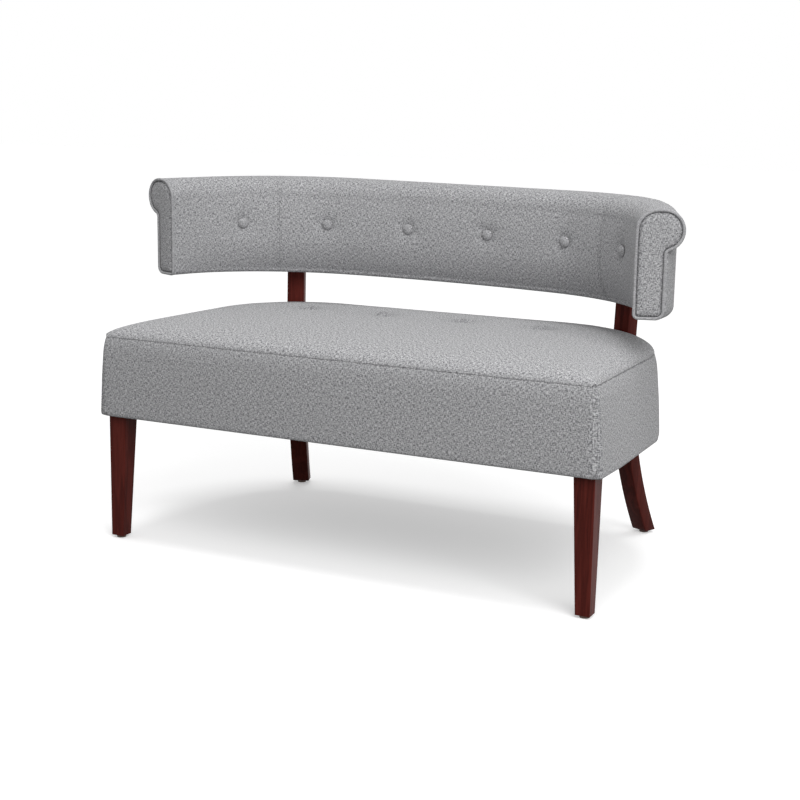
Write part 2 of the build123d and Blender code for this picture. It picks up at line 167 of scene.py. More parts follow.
def makeWeave():
    group, given, result = makeGroup(
        "heatherWeave",
        [("Vector", "NodeSocketVector", None), ("Threads", "NodeSocketFloat", 700.0),
         ("Slub", "NodeSocketFloat", 0.5), ("PaintedShade", "NodeSocketFloat", 0.0)],
        [("Tone", "NodeSocketFloat"), ("Height", "NodeSocketFloat")],
    )
    scaled, (across, along, deep) = scaledParts(group, given.outputs["Vector"], given.outputs["Threads"])
    warpRun = vectorNode(group, across, times(group, along, weave["stretch"]), deep)
    weftRun = vectorNode(group, times(group, across, weave["stretch"]), along, deep)
    warp, weft = (noiseNode(group, run, weave["yarnSize"], 2.0, 0.6) for run in (warpRun, weftRun))
    overX, overY = (mathNode(group, "SINE", times(group, run, pi)) for run in (across, along))
    over = mathNode(group, "MULTIPLY_ADD", times(group, overX, overY), 0.5)
    over.node.inputs[2].default_value = 0.5
    under = mathNode(group, "SUBTRACT", 1.0, over)
    yarn = plus(group, times(group, warp, over), times(group, weft, under))
    streaks = times(group, plus(group, warp, weft), 0.5)
    fleck = noiseNode(group, scaled, weave["fleckSize"], 2.0, 0.6)
    mixed = plus(group, times(group, yarn, weave["yarn"]), times(group, streaks, weave["streaks"]))
    mixed = plus(group, mixed, times(group, fleck, weave["fleck"]))
    centred = mathNode(group, "SUBTRACT", mixed, 0.5)
    spread = times(group, centred, times(group, given.outputs["Slub"], weave["contrast"]))
    # painted shade: the per-point mark darkens the tone where shade falls on the cloth
    shade = times(group, given.outputs["PaintedShade"], weave["paintedShadeDark"])
    tone = mathNode(group, "SUBTRACT", plus(group, spread, 0.5), shade)
    tone.node.use_clamp = True
    ridge = plus(group, times(group, mathNode(group, "ABSOLUTE", overX), over),
                 times(group, mathNode(group, "ABSOLUTE", overY), under))
    height = plus(group, times(group, ridge, weave["ridge"]), times(group, mixed, weave["fuzz"]))
    group.links.new(tone, result.inputs["Tone"])
    group.links.new(height, result.inputs["Height"])
    return group


# wood grain along Z: slow bands, fine streaks, rings and dark pores
grain = {"stretch": 0.06, "bandSize": 0.9, "fineSize": 9.0, "ringCount": 34.0, "bands": 0.7, "rings": 0.09,
         "fine": 0.25, "poreFrom": 0.62, "poreDark": 0.25}


def makeGrain():
    group, given, result = makeGroup(
        "woodGrain",
        [("Vector", "NodeSocketVector", None), ("Size", "NodeSocketFloat", 60.0),
         ("Pores", "NodeSocketFloat", 0.5)],
        [("Tone", "NodeSocketFloat"), ("Height", "NodeSocketFloat")],
    )
    scaled, (x, y, z) = scaledParts(group, given.outputs["Vector"], given.outputs["Size"])
    drawn = vectorNode(group, x, y, times(group, z, grain["stretch"]))
    bands = noiseNode(group, drawn, grain["bandSize"], 3.0, 0.55)
    fine = noiseNode(group, drawn, grain["fineSize"], 2.0, 0.6)
    rings = mathNode(group, "SINE", times(group, bands, grain["ringCount"]))
    tone = plus(group, times(group, bands, grain["bands"]), times(group, rings, grain["rings"]))
    tone = plus(group, tone, times(group, fine, grain["fine"]))
    pores = times(group, mathNode(group, "GREATER_THAN", fine, grain["poreFrom"]), given.outputs["Pores"])
    tone = mathNode(group, "SUBTRACT", tone, times(group, pores, grain["poreDark"]))
    tone.node.use_clamp = True
    group.links.new(tone, result.inputs["Tone"])
    group.links.new(mathNode(group, "SUBTRACT", fine, pores), result.inputs["Height"])
    return group


weaveGroup = makeWeave()
grainGroup = makeGrain()


def startFinish(name):
    finish = bpy.data.materials.new(name)
    finish.use_nodes = True
    return finish, finish.node_tree, finish.node_tree.nodes["Principled BSDF"]


def rampNode(tree, value, stops):
    node = tree.nodes.new("ShaderNodeValToRGB")
    tree.links.new(value, node.inputs["Fac"])
    while len(node.color_ramp.elements) < len(stops):
        node.color_ramp.elements.new(0.5)
    for element, (place, colour) in zip(node.color_ramp.elements, stops):
        element.position = place
        element.color = (*colour, 1)
    return node.outputs["Color"]


def bumpNode(tree, height, shader, strength, distance):
    node = tree.nodes.new("ShaderNodeBump")
    node.inputs["Strength"].default_value = strength
    node.inputs["Distance"].default_value = distance
    tree.links.new(height, node.inputs["Height"])
    tree.links.new(node.outputs["Normal"], shader.inputs["Normal"])


def groupNode(tree, group, vector, **values):
    node = tree.nodes.new("ShaderNodeGroup")
    node.node_tree = group
    tree.links.new(vector, node.inputs["Vector"])
    for label, value in values.items():
        if isinstance(value, bpy.types.NodeSocket):
            tree.links.new(value, node.inputs[label])
        else:
            node.inputs[label].default_value = value
    return node


def objectVector(tree):
    return tree.nodes.new("ShaderNodeTexCoord").outputs["Object"]


def paintRough(tree, value, span, ends, shader):
    tree.links.new(rangeNode(tree, value, *span, *ends), shader.inputs["Roughness"])


def makeCloth(name, look, followsSurface=True):
    finish, tree, shader = startFinish(name)
    vector = objectVector(tree)
    values = {"Threads": look["threads"], "Slub": look["slub"]}
    if followsSurface:
        uvMap = tree.nodes.new("ShaderNodeUVMap")
        uvMap.uv_map = "cloth"
        vector = uvMap.outputs["UV"]
        # the painted shade mark, stored per point on each cloth mesh
        paintedShade = tree.nodes.new("ShaderNodeAttribute")
        paintedShade.attribute_name = "paintedShade"
        values["PaintedShade"] = paintedShade.outputs["Fac"]
        facing = tree.nodes.new("ShaderNodeSeparateXYZ")
        tree.links.new(tree.nodes.new("ShaderNodeNewGeometry").outputs["Normal"], facing.inputs[0])
        upSlub = look["slub"] * look["upSlub"]
        values["Slub"] = rangeNode(tree, facing.outputs["Z"], look["upFrom"], 1, look["slub"], upSlub)
    tone, height = groupNode(tree, weaveGroup, vector, **values).outputs
    colour = rampNode(tree, tone, [(0.0, look["dark"]), (0.5, look["mid"]), (1.0, look["light"])])
    tree.links.new(colour, shader.inputs["Base Color"])
    paintRough(tree, tone, (0, 1), look["rough"], shader)
    shader.inputs["Specular IOR Level"].default_value = look["shine"]
    shader.inputs["Sheen Weight"].default_value = look["sheen"]
    shader.inputs["Sheen Roughness"].default_value = look["sheenRough"]
    bumpNode(tree, height, shader, look["bump"], look["bumpDeep"])
    return finish


# painted light: lifts the colour over a short height, so the posts look lit above the seat
def paintedLightAbove(tree, colour, look):
    split = tree.nodes.new("ShaderNodeSeparateXYZ")
    tree.links.new(objectVector(tree), split.inputs[0])
    scaled = tree.nodes.new("ShaderNodeVectorMath")
    scaled.operation = "SCALE"
    tree.links.new(colour, scaled.inputs[0])
    fullyLit = look["litFrom"] + look["litOver"]
    lift = rangeNode(tree, split.outputs["Z"], look["litFrom"], fullyLit, 1.0, look["lit"])
    tree.links.new(lift, scaled.inputs["Scale"])
    return scaled.outputs[0]


def makeWood(name, look):
    finish, tree, shader = startFinish(name)
    node = groupNode(tree, grainGroup, objectVector(tree), Size=look["size"], Pores=look["pores"])
    tone, height = node.outputs
    colour = rampNode(tree, tone, look["stops"])
    # painted light on the posts above the seat
    if "lit" in look:
        colour = paintedLightAbove(tree, colour, look)
    tree.links.new(colour, shader.inputs["Base Color"])
    paintRough(tree, tone, (0, 1), look["rough"], shader)
    shader.inputs["Specular IOR Level"].default_value = look["shine"]
    bumpNode(tree, height, shader, look["bump"], look["bumpDeep"])
    return finish


def makeSpeckled(name, look):
    finish, tree, shader = startFinish(name)
    speckle = noiseNode(tree, objectVector(tree), look["scale"], 4.0, 0.6)
    low, high = look["span"]
    colour = rampNode(tree, speckle, [(low, look["dark"]), (high, look["light"])])
    tree.links.new(colour, shader.inputs["Base Color"])
    paintRough(tree, speckle, look["span"], look["rough"], shader)
    shader.inputs["Metallic"].default_value = look["metal"]
    bumpNode(tree, speckle, shader, look["bump"], look["bumpDeep"])
    return finish


# threads and sizes count per metre, rough runs from the dark to the light tone
clothLook = {"threads": 1250.0, "slub": 1.4, "upSlub": 1.5, "upFrom": 0.3, "dark": (0.17, 0.17, 0.178),
             "mid": (0.385, 0.385, 0.395), "light": (0.62, 0.62, 0.632), "rough": (0.98, 0.86), "shine": 0.25,
             "sheen": 0.15, "sheenRough": 0.45, "bump": 0.35, "bumpDeep": 0.0012}
pipingLook = {**clothLook, "threads": 900.0, "slub": 0.45}
threadLook = {**clothLook, "threads": 2500.0, "dark": (0.11, 0.11, 0.117), "mid": (0.2, 0.2, 0.208),
              "light": (0.3, 0.3, 0.31)}
blackLook = {**clothLook, "threads": 1500.0, "dark": (0.012, 0.012, 0.013), "mid": (0.022, 0.022, 0.023),
             "light": (0.04, 0.04, 0.041), "sheen": 0.0}
twineLook = {**clothLook, "threads": 1800.0, "dark": (0.4, 0.36, 0.28), "mid": (0.58, 0.53, 0.42),
             "light": (0.72, 0.67, 0.55)}
cherryLook = {"size": 62.0, "pores": 0.5, "rough": (0.46, 0.36), "shine": 0.05,
              "bump": 0.12, "bumpDeep": 0.0004,
              "stops": [(0.25, (0.045, 0.0078, 0.006)), (0.55, (0.092, 0.016, 0.0118)),
                        (0.8, (0.138, 0.0265, 0.02))]}
# painted light: lighter above the seat, standing in for the light that falls on the posts there
paintedLitPostLook = {**cherryLook, "litFrom": 0.44, "litOver": 0.05, "lit": 1.7}  # lighter above the seat
framewoodLook = {"size": 40.0, "pores": 0.3, "rough": (0.68, 0.58), "shine": 0.3,
                 "bump": 0.3, "bumpDeep": 0.0004,
                 "stops": [(0.2, (0.36, 0.24, 0.13)), (0.55, (0.52, 0.38, 0.23)),
                           (0.85, (0.62, 0.48, 0.31))]}
zincLook = {"scale": 220.0, "span": (0.3, 0.7), "dark": (0.46, 0.46, 0.47), "light": (0.62, 0.62, 0.62),
            "rough": (0.3, 0.48), "metal": 1.0, "bump": 0.15, "bumpDeep": 0.0003}
glideLook = {**zincLook, "scale": 300.0, "dark": (0.09, 0.055, 0.04), "light": (0.2, 0.13, 0.1),
             "rough": (0.42, 0.6), "metal": 0.0}

cloth = makeCloth("greyHeather", clothLook)
piping = makeCloth("greyPiping", pipingLook, followsSurface=False)
thread = makeCloth("seamThread", threadLook, followsSurface=False)
blackCloth = makeCloth("blackUndercloth", blackLook, followsSurface=False)
twine = makeCloth("waxedTwine", twineLook, followsSurface=False)
cherry = makeWood("cherryStain", cherryLook)
paintedLitCherry = makeWood("cherryPaintedLitPost", paintedLitPostLook)
framewood = makeWood("planedFramewood", framewoodLook)
zinc = makeSpeckled("zincPlate", zincLook)
glideBrown = makeSpeckled("glideBrown", glideLook)
print("finishes ready")


# geometry node trees

def makeTree(name, inputs):
    tree = bpy.data.node_groups.new(name, "GeometryNodeTree")
    for label, kind in inputs:
        tree.interface.new_socket(label, in_out="INPUT", socket_type=kind)
    tree.interface.new_socket("Result", in_out="OUTPUT", socket_type="NodeSocketGeometry")
    return tree, tree.nodes.new("NodeGroupInput"), tree.nodes.new("NodeGroupOutput")


def closeTree(tree, geometry, materialSocket, output):
    realize = tree.nodes.new("GeometryNodeRealizeInstances")
    smooth = tree.nodes.new("GeometryNodeSetShadeSmooth")
    paint = tree.nodes.new("GeometryNodeSetMaterial")
    tree.links.new(geometry, realize.inputs[0])
    tree.links.new(realize.outputs[0], smooth.inputs[0])
    tree.links.new(smooth.outputs[0], paint.inputs[0])
    tree.links.new(materialSocket, paint.inputs["Material"])
    tree.links.new(paint.outputs[0], output.inputs[0])


def runCurve(tree, path, pitch):
    curve = tree.nodes.new("GeometryNodeMeshToCurve")
    resample = tree.nodes.new("GeometryNodeResampleCurve")
    resample.mode = "LENGTH"
    tree.links.new(path, curve.inputs[0])
    tree.links.new(curve.outputs[0], resample.inputs["Curve"])
    tree.links.new(pitch, resample.inputs["Length"])
    return resample.outputs[0]


def makeStitchTree():
    tree, given, output = makeTree("stitchRun", [
        ("Path", "NodeSocketGeometry"), ("Pitch", "NodeSocketFloat"), ("Length", "NodeSocketFloat"),
        ("Thickness", "NodeSocketFloat"), ("Thread", "NodeSocketMaterial")])
    run = runCurve(tree, given.outputs["Path"], given.outputs["Pitch"])
    ball = tree.nodes.new("GeometryNodeMeshIcoSphere")
    ball.inputs["Radius"].default_value = 0.5
    ball.inputs["Subdivisions"].default_value = 2
    size = tree.nodes.new("ShaderNodeCombineXYZ")
    for label, socket in zip("XYZ", ("Length", "Thickness", "Thickness")):
        tree.links.new(given.outputs[socket], size.inputs[label])
    turn = tree.nodes.new("FunctionNodeAlignRotationToVector")
    turn.axis = "X"
    tree.links.new(tree.nodes.new("GeometryNodeInputTangent").outputs[0], turn.inputs["Vector"])
    spread = tree.nodes.new("GeometryNodeInstanceOnPoints")
    tree.links.new(run, spread.inputs["Points"])
    tree.links.new(ball.outputs["Mesh"], spread.inputs["Instance"])
    tree.links.new(turn.outputs["Rotation"], spread.inputs["Rotation"])
    tree.links.new(size.outputs[0], spread.inputs["Scale"])
    closeTree(tree, spread.outputs[0], given.outputs["Thread"], output)
    return tree


def makePipingTree():
    tree, given, output = makeTree("pipingRun", [
        ("Path", "NodeSocketGeometry"), ("Pitch", "NodeSocketFloat"), ("Radius", "NodeSocketFloat"),
        ("Cover", "NodeSocketMaterial")])
    run = runCurve(tree, given.outputs["Path"], given.outputs["Pitch"])
    ring = tree.nodes.new("GeometryNodeCurvePrimitiveCircle")
    ring.inputs["Resolution"].default_value = 12
    tree.links.new(given.outputs["Radius"], ring.inputs["Radius"])
    tube = tree.nodes.new("GeometryNodeCurveToMesh")
    tree.links.new(run, tube.inputs["Curve"])
    tree.links.new(ring.outputs["Curve"], tube.inputs["Profile Curve"])
    closeTree(tree, tube.outputs[0], given.outputs["Cover"], output)
    return tree


def makeButtonTree():
    tree, given, output = makeTree("buttonRow", [
        ("Places", "NodeSocketGeometry"), ("Button", "NodeSocketObject"), ("Cover", "NodeSocketMaterial")])
    shape = tree.nodes.new("GeometryNodeObjectInfo")
    tree.links.new(given.outputs["Button"], shape.inputs["Object"])
    facing = tree.nodes.new("GeometryNodeInputNamedAttribute")
    facing.data_type = "FLOAT_VECTOR"
    facing.inputs["Name"].default_value = "facing"
    turn = tree.nodes.new("FunctionNodeAlignRotationToVector")
    turn.axis = "Z"
    tree.links.new(facing.outputs["Attribute"], turn.inputs["Vector"])
    spread = tree.nodes.new("GeometryNodeInstanceOnPoints")
    tree.links.new(given.outputs["Places"], spread.inputs["Points"])
    tree.links.new(shape.outputs["Geometry"], spread.inputs["Instance"])
    tree.links.new(turn.outputs["Rotation"], spread.inputs["Rotation"])
    closeTree(tree, spread.outputs[0], given.outputs["Cover"], output)
    return tree


def runTree(name, tree, points, edges, values, facing=None):
    path = bpy.data.meshes.new(name + "Path")
    path.from_pydata([tuple(p) for p in points], edges, [])
    if facing is not None:
        mark = path.attributes.new("facing", "FLOAT_VECTOR", "POINT")
        mark.data.foreach_set("vector", np.array(facing, np.float32).ravel())
    piece = bpy.data.objects.new(name, path)
    scene.collection.objects.link(piece)
    modifier = piece.modifiers.new(tree.name, "NODES")
    modifier.node_group = tree
    for item in tree.interface.items_tree:
        if item.in_out == "INPUT" and item.name in values:
            modifier[item.identifier] = values[item.name]
    depsgraph = bpy.context.evaluated_depsgraph_get()
    made = bpy.data.meshes.new_from_object(piece.evaluated_get(depsgraph))
    piece.modifiers.clear()
    piece.data = made
    bpy.data.meshes.remove(path)
    made.name = name
    return piece


stitchTree = makeStitchTree()
pipingTree = makePipingTree()
buttonTree = makeButtonTree()


def chain(count, start=0, closed=False):
    links = [(start + i, start + i + 1) for i in range(count - 1)]
    return links + [(start + count - 1, start)] if closed else links


def gridFaces(rows, columns, closed=False):
    faces = []
    for low in range(0, (rows - 1) * columns, columns):
        for j in range(columns if closed else columns - 1):
            k = (j + 1) % columns
            faces.append([low + j, low + k, low + columns + k, low + columns + j])
    return faces


def runLengths(points):
    steps = np.linalg.norm(np.roll(points, -1, 0) - points, axis=1)
    return np.concatenate([[0], np.cumsum(steps)])


def softBump(away, width):
    return np.exp(-(away / width) ** 2)


def sewRun(name, points, links, look):
    sizes = {"Pitch": look["stitchPitch"], "Length": look["stitchLength"], "Thickness": look["stitchThick"]}
    values = {label: size / 1000 for label, size in sizes.items()}
    run = runTree(name, stitchTree, metres(points), links, {**values, "Thread": thread})
    return settle(run, "upholstery")


# seat cushion: a crowned top sewn to a boxed border
seat = {"front": drawnFront + 4, "back": 310, "half": 549.5, "taper": 27, "frontRound": 8, "backRound": 258,
        "hem": 273, "seam": 443, "crown": 45, "reach": 165, "cornerFill": 3.0,
        "step": 6.5, "arcStep": 1.6, "thinRows": (1.0, 2.2), "crownRows": 27,
        "undulate": 0.9, "waves": [(1.0, 95, 1.3), (0.5, 38, 5.1)],  # share, width, seed
        "flare": 14, "sideFlare": 7, "flareFrom": 110, "bulge": 1.5, "shoulder": 4, "shoulderDrop": 32,
        "seamRows": (1.2, 3, 6, 10, 16), "bandRows": 17, "groove": 0.5, "grooveWidth": 2.0,
        "pucker": 17, "puckerTop": 0.1, "puckerBand": 0.15, "puckerDrop": 12,
        "cornerRow": 5, "cornerDip": 1.3, "cornerWidth": 2.2,
        "billow": 0.7, "billowLong": 120, "billowHigh": 60,
        "folds": [(7, 0.0), (3.5, 0.3), (1.2, 1.4), (0, 3.4), (1.5, 9), (4.5, 14)],  # hem: lift, tuck
        # painted shade along the top seam and the front corner seams
        "seamShade": 0.5, "seamShadeWidth": 1.2, "cornerShade": 0.4, "cornerShadeWidth": 1.5,
        "stitchPitch": 5.2, "stitchLength": 3.6, "stitchThick": 0.9,
        "stitchApart": 4.2, "stitchLift": 0.25, "stitchRows": (3, 22),
        "tuft": {"places": [(-282, 108), (-94, 108), (94, 108), (282, 108)], "squash": 1.25,
                 # shade and shadeWidth are painted shade round each tuft
                 "depth": 3.4, "width": 19, "pull": 1.2, "pullWidth": 60, "shade": 0.55, "shadeWidth": 36,
                 "creases": 5, "creaseHigh": 0.8, "creaseFrom": 24, "creaseWidth": 13,
                 "tieDrop": 4.5, "tieRoom": 12},
        "puff": {"every": 3, "pressure": 4.0, "tension": 15.0, "frames": 20, "cap": 5.0, "smooth": 4,
                 "edgeHold": 0.55, "edgeHoldOver": 0.3, "tuftHold": 1.6, "tuftHoldWidth": 22}}


def roundCorner(before, corner, after, radius, count):
    a, b = unit(before - corner), unit(after - corner)
    half = acos(np.dot(a, b)) / 2
    centre = corner + unit(a + b) * radius / sin(half)
    start = corner + a * radius / tan(half) - centre
    sweep = pi - 2 * half
    points = []
    for turn in (sweep * i / count for i in range(count + 1)):
        x, y = start[0] * cos(turn) - start[1] * sin(turn), start[0] * sin(turn) + start[1] * cos(turn)
        points.append(centre + np.array((x, y)))
    return points


def seatRightSide():
    corners = [np.array(p, float) for p in (
        (-seat["half"], seat["front"]), (seat["half"], seat["front"]),
        (seat["half"] - seat["taper"], seat["back"]), (seat["taper"] - seat["half"], seat["back"]))]
    near = roundCorner(corners[0], corners[1], corners[2], seat["frontRound"], 24)
    far = roundCorner(corners[1], corners[2], corners[3], seat["backRound"], 240)
    return np.array(near + far)


rightSide = seatRightSide()


def halfWidthAt(y):
    return np.interp(y, rightSide[:, 1], rightSide[:, 0])


def fillSteps(low, high, step):
    count = max(1, int(round((high - low) / step)))
    return [low + (high - low) * i / count for i in range(1, count)]


def crownHeights(x, y):
    sides = [(px, py) for px, py in rightSide if py > seat["front"] + 12]
    straight = np.linspace(seat["front"] - 250, sides[0][1], 700)
    slope = seat["taper"] / (seat["back"] - seat["front"])
    sides += [(seat["half"] - slope * (py - seat["front"]), py) for py in straight]
    backLine = np.linspace(-rightSide[-1][0], rightSide[-1][0], 300)
    border = sides + [(-px, py) for px, py in sides] + [(px, seat["back"]) for px in backLine]
    tree = KDTree(len(border))
    for i, (px, py) in enumerate(border):
        tree.insert((px, py, 0), i)
    tree.balance()
    fromRest = np.array([tree.find((px, py, 0))[2] for px, py in zip(x.ravel(), y.ravel())]).reshape(x.shape)
    fromFront = y - seat["front"]
    near = 1 - np.clip(fromFront / seat["reach"], 0, 1)
    rest = 1 - np.clip(fromRest / seat["reach"], 0, 1)
    fill = seat["cornerFill"]  # higher fills the corners more
    rises = [np.sqrt(np.maximum(1 - edge ** 2, 1e-8)) for edge in (near, rest)]
    rise = (rises[0] ** -fill + rises[1] ** -fill) ** (-1 / fill)
    return seat["seam"] + seat["crown"] * rise, np.maximum(near, rest)


def softNoise(x, y, size, seedOffset):
    flat = [noise.noise(Vector((px / size, py / size, seedOffset))) for px, py in zip(x.ravel(), y.ravel())]
    return np.array(flat).reshape(x.shape)


def seatGrid():
    bends = [radians(bend) for bend in (0, *seat["thinRows"], *np.linspace(0, 90, seat["crownRows"])[1:])]
    insets = [seat["reach"] * (1 - cos(bend)) for bend in bends]
    arcTurns = [radians(90 - seat["arcStep"] * i) for i in range(int(90 / seat["arcStep"]) + 1)]
    rows = [seat["front"] + inset for inset in insets]
    rows += fillSteps(rows[-1], seat["back"] - seat["backRound"], seat["step"])
    rows += [seat["back"] - seat["backRound"] * (1 - cos(turn)) for turn in arcTurns]
    rows = np.array([*rows, seat["back"]])
    edge = [1 - inset / seat["half"] for inset in insets]
    inner = fillSteps(-edge[-1] * seat["half"], edge[-1] * seat["half"], seat["step"])
    columns = [-share for share in edge] + [x / seat["half"] for x in inner] + edge[::-1]
    return np.outer(halfWidthAt(rows), columns), np.repeat(rows[:, None], len(columns), axis=1)


def tuftedTop():
    tuft, puff = seat["tuft"], seat["puff"]
    x, y = seatGrid()
    z, nearEdge = crownHeights(x, y)
    waves = sum(share * softNoise(x, y, width, seed) for share, width, seed in seat["waves"])
    z += seat["undulate"] * (1 - nearEdge) * waves
    shade = np.zeros_like(z)
    hold = np.clip((nearEdge - puff["edgeHold"]) / puff["edgeHoldOver"], 0, 1)
    tieTop = seat["seam"] + seat["crown"] - tuft["tieDrop"]
    for tuftX, tuftY in tuft["places"]:
        away = np.hypot(x - tuftX, (y - tuftY) * tuft["squash"])
        angle = np.arctan2(y - tuftY, x - tuftX)
        pull = tuft["pull"] * softBump(away, tuft["pullWidth"])
        z -= tuft["depth"] * softBump(away, tuft["width"]) + pull
        creases = tuft["creaseHigh"] * np.cos(tuft["creases"] * angle + tuftX)
        z += creases * softBump(away - tuft["creaseFrom"], tuft["creaseWidth"])
        z = np.where(away < tuft["tieRoom"], np.maximum(z, tieTop), z)  # keeps the tie under the cloth
        # painted shade darkening the cloth round the tuft
        shade += tuft["shade"] * softBump(away, tuft["shadeWidth"])
        hold = np.maximum(hold, np.clip(puff["tuftHold"] - away / puff["tuftHoldWidth"], 0, 1))
    return np.stack([x, y, z], -1), shade, hold


# swells a coarse sheet of the grid as cloth under pressure, and carries its moves over to the grid
def puffedUp(grid, hold):
    puff = seat["puff"]
    picked = [sorted({*range(0, count, puff["every"]), count - 1}) for count in hold.shape]
    rest = grid[np.ix_(*picked)] / 1000
    sheet = bpy.data.meshes.new("puff")
    sheet.from_pydata(rest.reshape(-1, 3).tolist(), [], gridFaces(*rest.shape[:2]))
    trial = bpy.data.objects.new("puff", sheet)
    scene.collection.objects.link(trial)
    group = trial.vertex_groups.new(name="hold")
    for i, weight in enumerate(hold[np.ix_(*picked)].ravel()):
        group.add([i], float(weight), "REPLACE")
    swelling = trial.modifiers.new("puff", "CLOTH")
    swelling.settings.vertex_group_mass = "hold"
    swelling.settings.use_pressure = True
    swelling.settings.uniform_pressure_force = puff["pressure"]
    swelling.settings.effector_weights.gravity = 0
    swelling.settings.tension_stiffness = puff["tension"]
    swelling.settings.compression_stiffness = puff["tension"]
    swelling.collision_settings.use_self_collision = False
    swelling.point_cache.frame_end = puff["frames"]
    for step in range(1, puff["frames"] + 1):
        scene.frame_set(step)
    swollen = trial.evaluated_get(bpy.context.evaluated_depsgraph_get())
    move = np.array([vertex.co for vertex in swollen.data.vertices]).reshape(rest.shape) - rest
    scene.frame_set(1)
    bpy.data.objects.remove(trial)
    bpy.data.meshes.remove(sheet)
    furthest = np.linalg.norm(move, axis=2).max() * 1000
    move *= 1000 * min(1, puff["cap"] / furthest)
    for axis, kept in enumerate(picked):
        spots = np.arange(hold.shape[axis])
        move = np.apply_along_axis(lambda run: np.interp(spots, kept, run), axis, move)
    for axis in (0, 1) * puff["smooth"]:
        move = (np.roll(move, 1, axis) + 2 * move + np.roll(move, -1, axis)) / 4
    print("cloth swelled by", round(float(furthest), 1), "mm, kept to", puff["cap"], "mm")
    return grid + move * (1 - hold)[..., None]


def clothOverTop(grid):
    across = np.pad(np.cumsum(np.linalg.norm(np.diff(grid, axis=1), axis=2), axis=1), ((0, 0), (1, 0)))
    along = np.pad(np.cumsum(np.linalg.norm(np.diff(grid, axis=0), axis=2), axis=0), ((1, 0), (0, 0)))
    across -= across[:, [grid.shape[1] // 2]]
    return np.stack([across, along], -1).reshape(-1, 2) / 1000


def bandLevels():
    levels = [seat["seam"] - drop for drop in seat["seamRows"]]
    levels += list(np.linspace(levels[-1], seat["hem"] + seat["folds"][0][0], seat["bandRows"])[1:-1])
    tuck = {seat["hem"] + lift: inset for lift, inset in seat["folds"]}
    return levels + list(tuck), tuck


def makeSeat():
    grid, shade, hold = tuftedTop()
    grid = puffedUp(grid, hold)
    nRows, nColumns = hold.shape
    index = np.arange(nRows * nColumns).reshape(nRows, nColumns)
    points = grid.reshape(-1, 3)
    topCloth = clothOverTop(grid)
    loop = [*index[0], *index[1:, -1], *index[-1, -2::-1], *index[-2:0:-1, 0]]
    border = points[loop, :2].copy()
    outward = np.roll(border, -1, 0) - np.roll(border, 1, 0)
    outward = np.stack([outward[:, 1], -outward[:, 0]], -1)
    outward /= np.linalg.norm(outward, axis=1)[:, None]
    lengths = runLengths(border)
    runs = lengths[:-1]
    cornerLengths = [lengths[loop.index(index[seat["cornerRow"], side])] for side in (-1, 0)]
    cornerGap = np.min([np.abs(runs - corner) for corner in cornerLengths], axis=0)
    pucker = np.array([noise.noise(Vector((length / seat["pucker"], 0.4, 2.2))) for length in runs])
    points[loop, :2] -= outward * seat["groove"]
    points[loop, 2] += seat["puckerTop"] * pucker
    flarePush = np.stack([outward[:, 0], np.maximum(outward[:, 1], 0)], -1)
    sideShare = np.clip((border[:, 1] - seat["front"]) / seat["flareFrom"], 0, 1)
    sideShare *= np.clip(1 - outward[:, 1] / 0.2, 0, 1)
    flarePush *= (seat["flare"] + seat["sideFlare"] * sideShare)[:, None]
    # painted shade: the tuft dents, the top seam and the front corner seams darken the cloth through this
    # mark
    allPoints, rings, paintedShade = [points], [np.array(loop)], [shade.ravel()]
    paintedShade[0][loop] = seat["seamShade"]
    levels, tuck = bandLevels()
    total = len(points)
    for level in levels:
        below = seat["seam"] - level
        drop = below / (seat["seam"] - seat["hem"])
        belly = sin(pi * min(1, drop))
        reach = seat["bulge"] * belly - tuck.get(level, 0)
        reach += seat["shoulder"] * (1 - max(0, 1 - below / seat["shoulderDrop"]) ** 2)
        pinch = seat["groove"] * softBump(below, seat["grooveWidth"])
        lift = level / seat["billowHigh"]
        billow = [noise.noise(Vector((length / seat["billowLong"], lift, 7.7))) for length in runs]
        wave = seat["puckerBand"] * pucker * softBump(below, seat["puckerDrop"])
        wave += seat["billow"] * np.array(billow) * belly
        dip = seat["cornerDip"] * softBump(cornerGap, seat["cornerWidth"])
        offset = outward * (reach - pinch + wave - dip)[:, None] + flarePush * drop
        ring = np.column_stack([border + offset, np.full(len(border), float(level))])
        allPoints.append(ring)
        rings.append(np.arange(total, total + len(ring)))
        mark = seat["cornerShade"] * softBump(cornerGap, seat["cornerShadeWidth"])
        paintedShade.append(np.maximum(mark, seat["seamShade"] * softBump(below, seat["seamShadeWidth"])))
        total += len(ring)
    points = np.concatenate(allPoints)
    faces = gridFaces(nRows, nColumns)
    uvs = [topCloth[corner] for face in faces for corner in face]
    heights = [height / 1000 for height in (seat["seam"], *levels)]
    for upper, lower, zUpper, zLower in zip(rings, rings[1:], heights, heights[1:]):
        for i in range(len(loop)):
            k = (i + 1) % len(loop)
            faces.append([int(upper[i]), int(lower[i]), int(lower[k]), int(upper[k])])
            here, there = lengths[i] / 1000, lengths[i + 1] / 1000
            uvs += [(here, zUpper), (here, zLower), (there, zLower), (there, zUpper)]
    under = [int(i) for i in rings[-1]]
    faces.append(under)
    uvs += [points[i, :2] / 1000 for i in under]
    piece = addPiece("seatCushion", metres(points), faces, cloth, uvs, {"paintedShade": np.concatenate(paintedShade)})
    stitchPoints, stitchLinks = [], []
    for wanted in (corner + side * seat["stitchApart"] for corner in cornerLengths for side in (-1, 1)):
        run = []
        for ring in rings[slice(*seat["stitchRows"])]:
            spot = np.array([np.interp(wanted, runs, points[ring, axis]) for axis in range(3)])
            facing = np.array([np.interp(wanted, runs, outward[:, axis]) for axis in range(2)])
            spot[:2] += facing * seat["stitchLift"]
            run.append(spot)
        stitchLinks += chain(len(run), len(stitchPoints))
        stitchPoints += run
    return piece, stitchPoints, stitchLinks


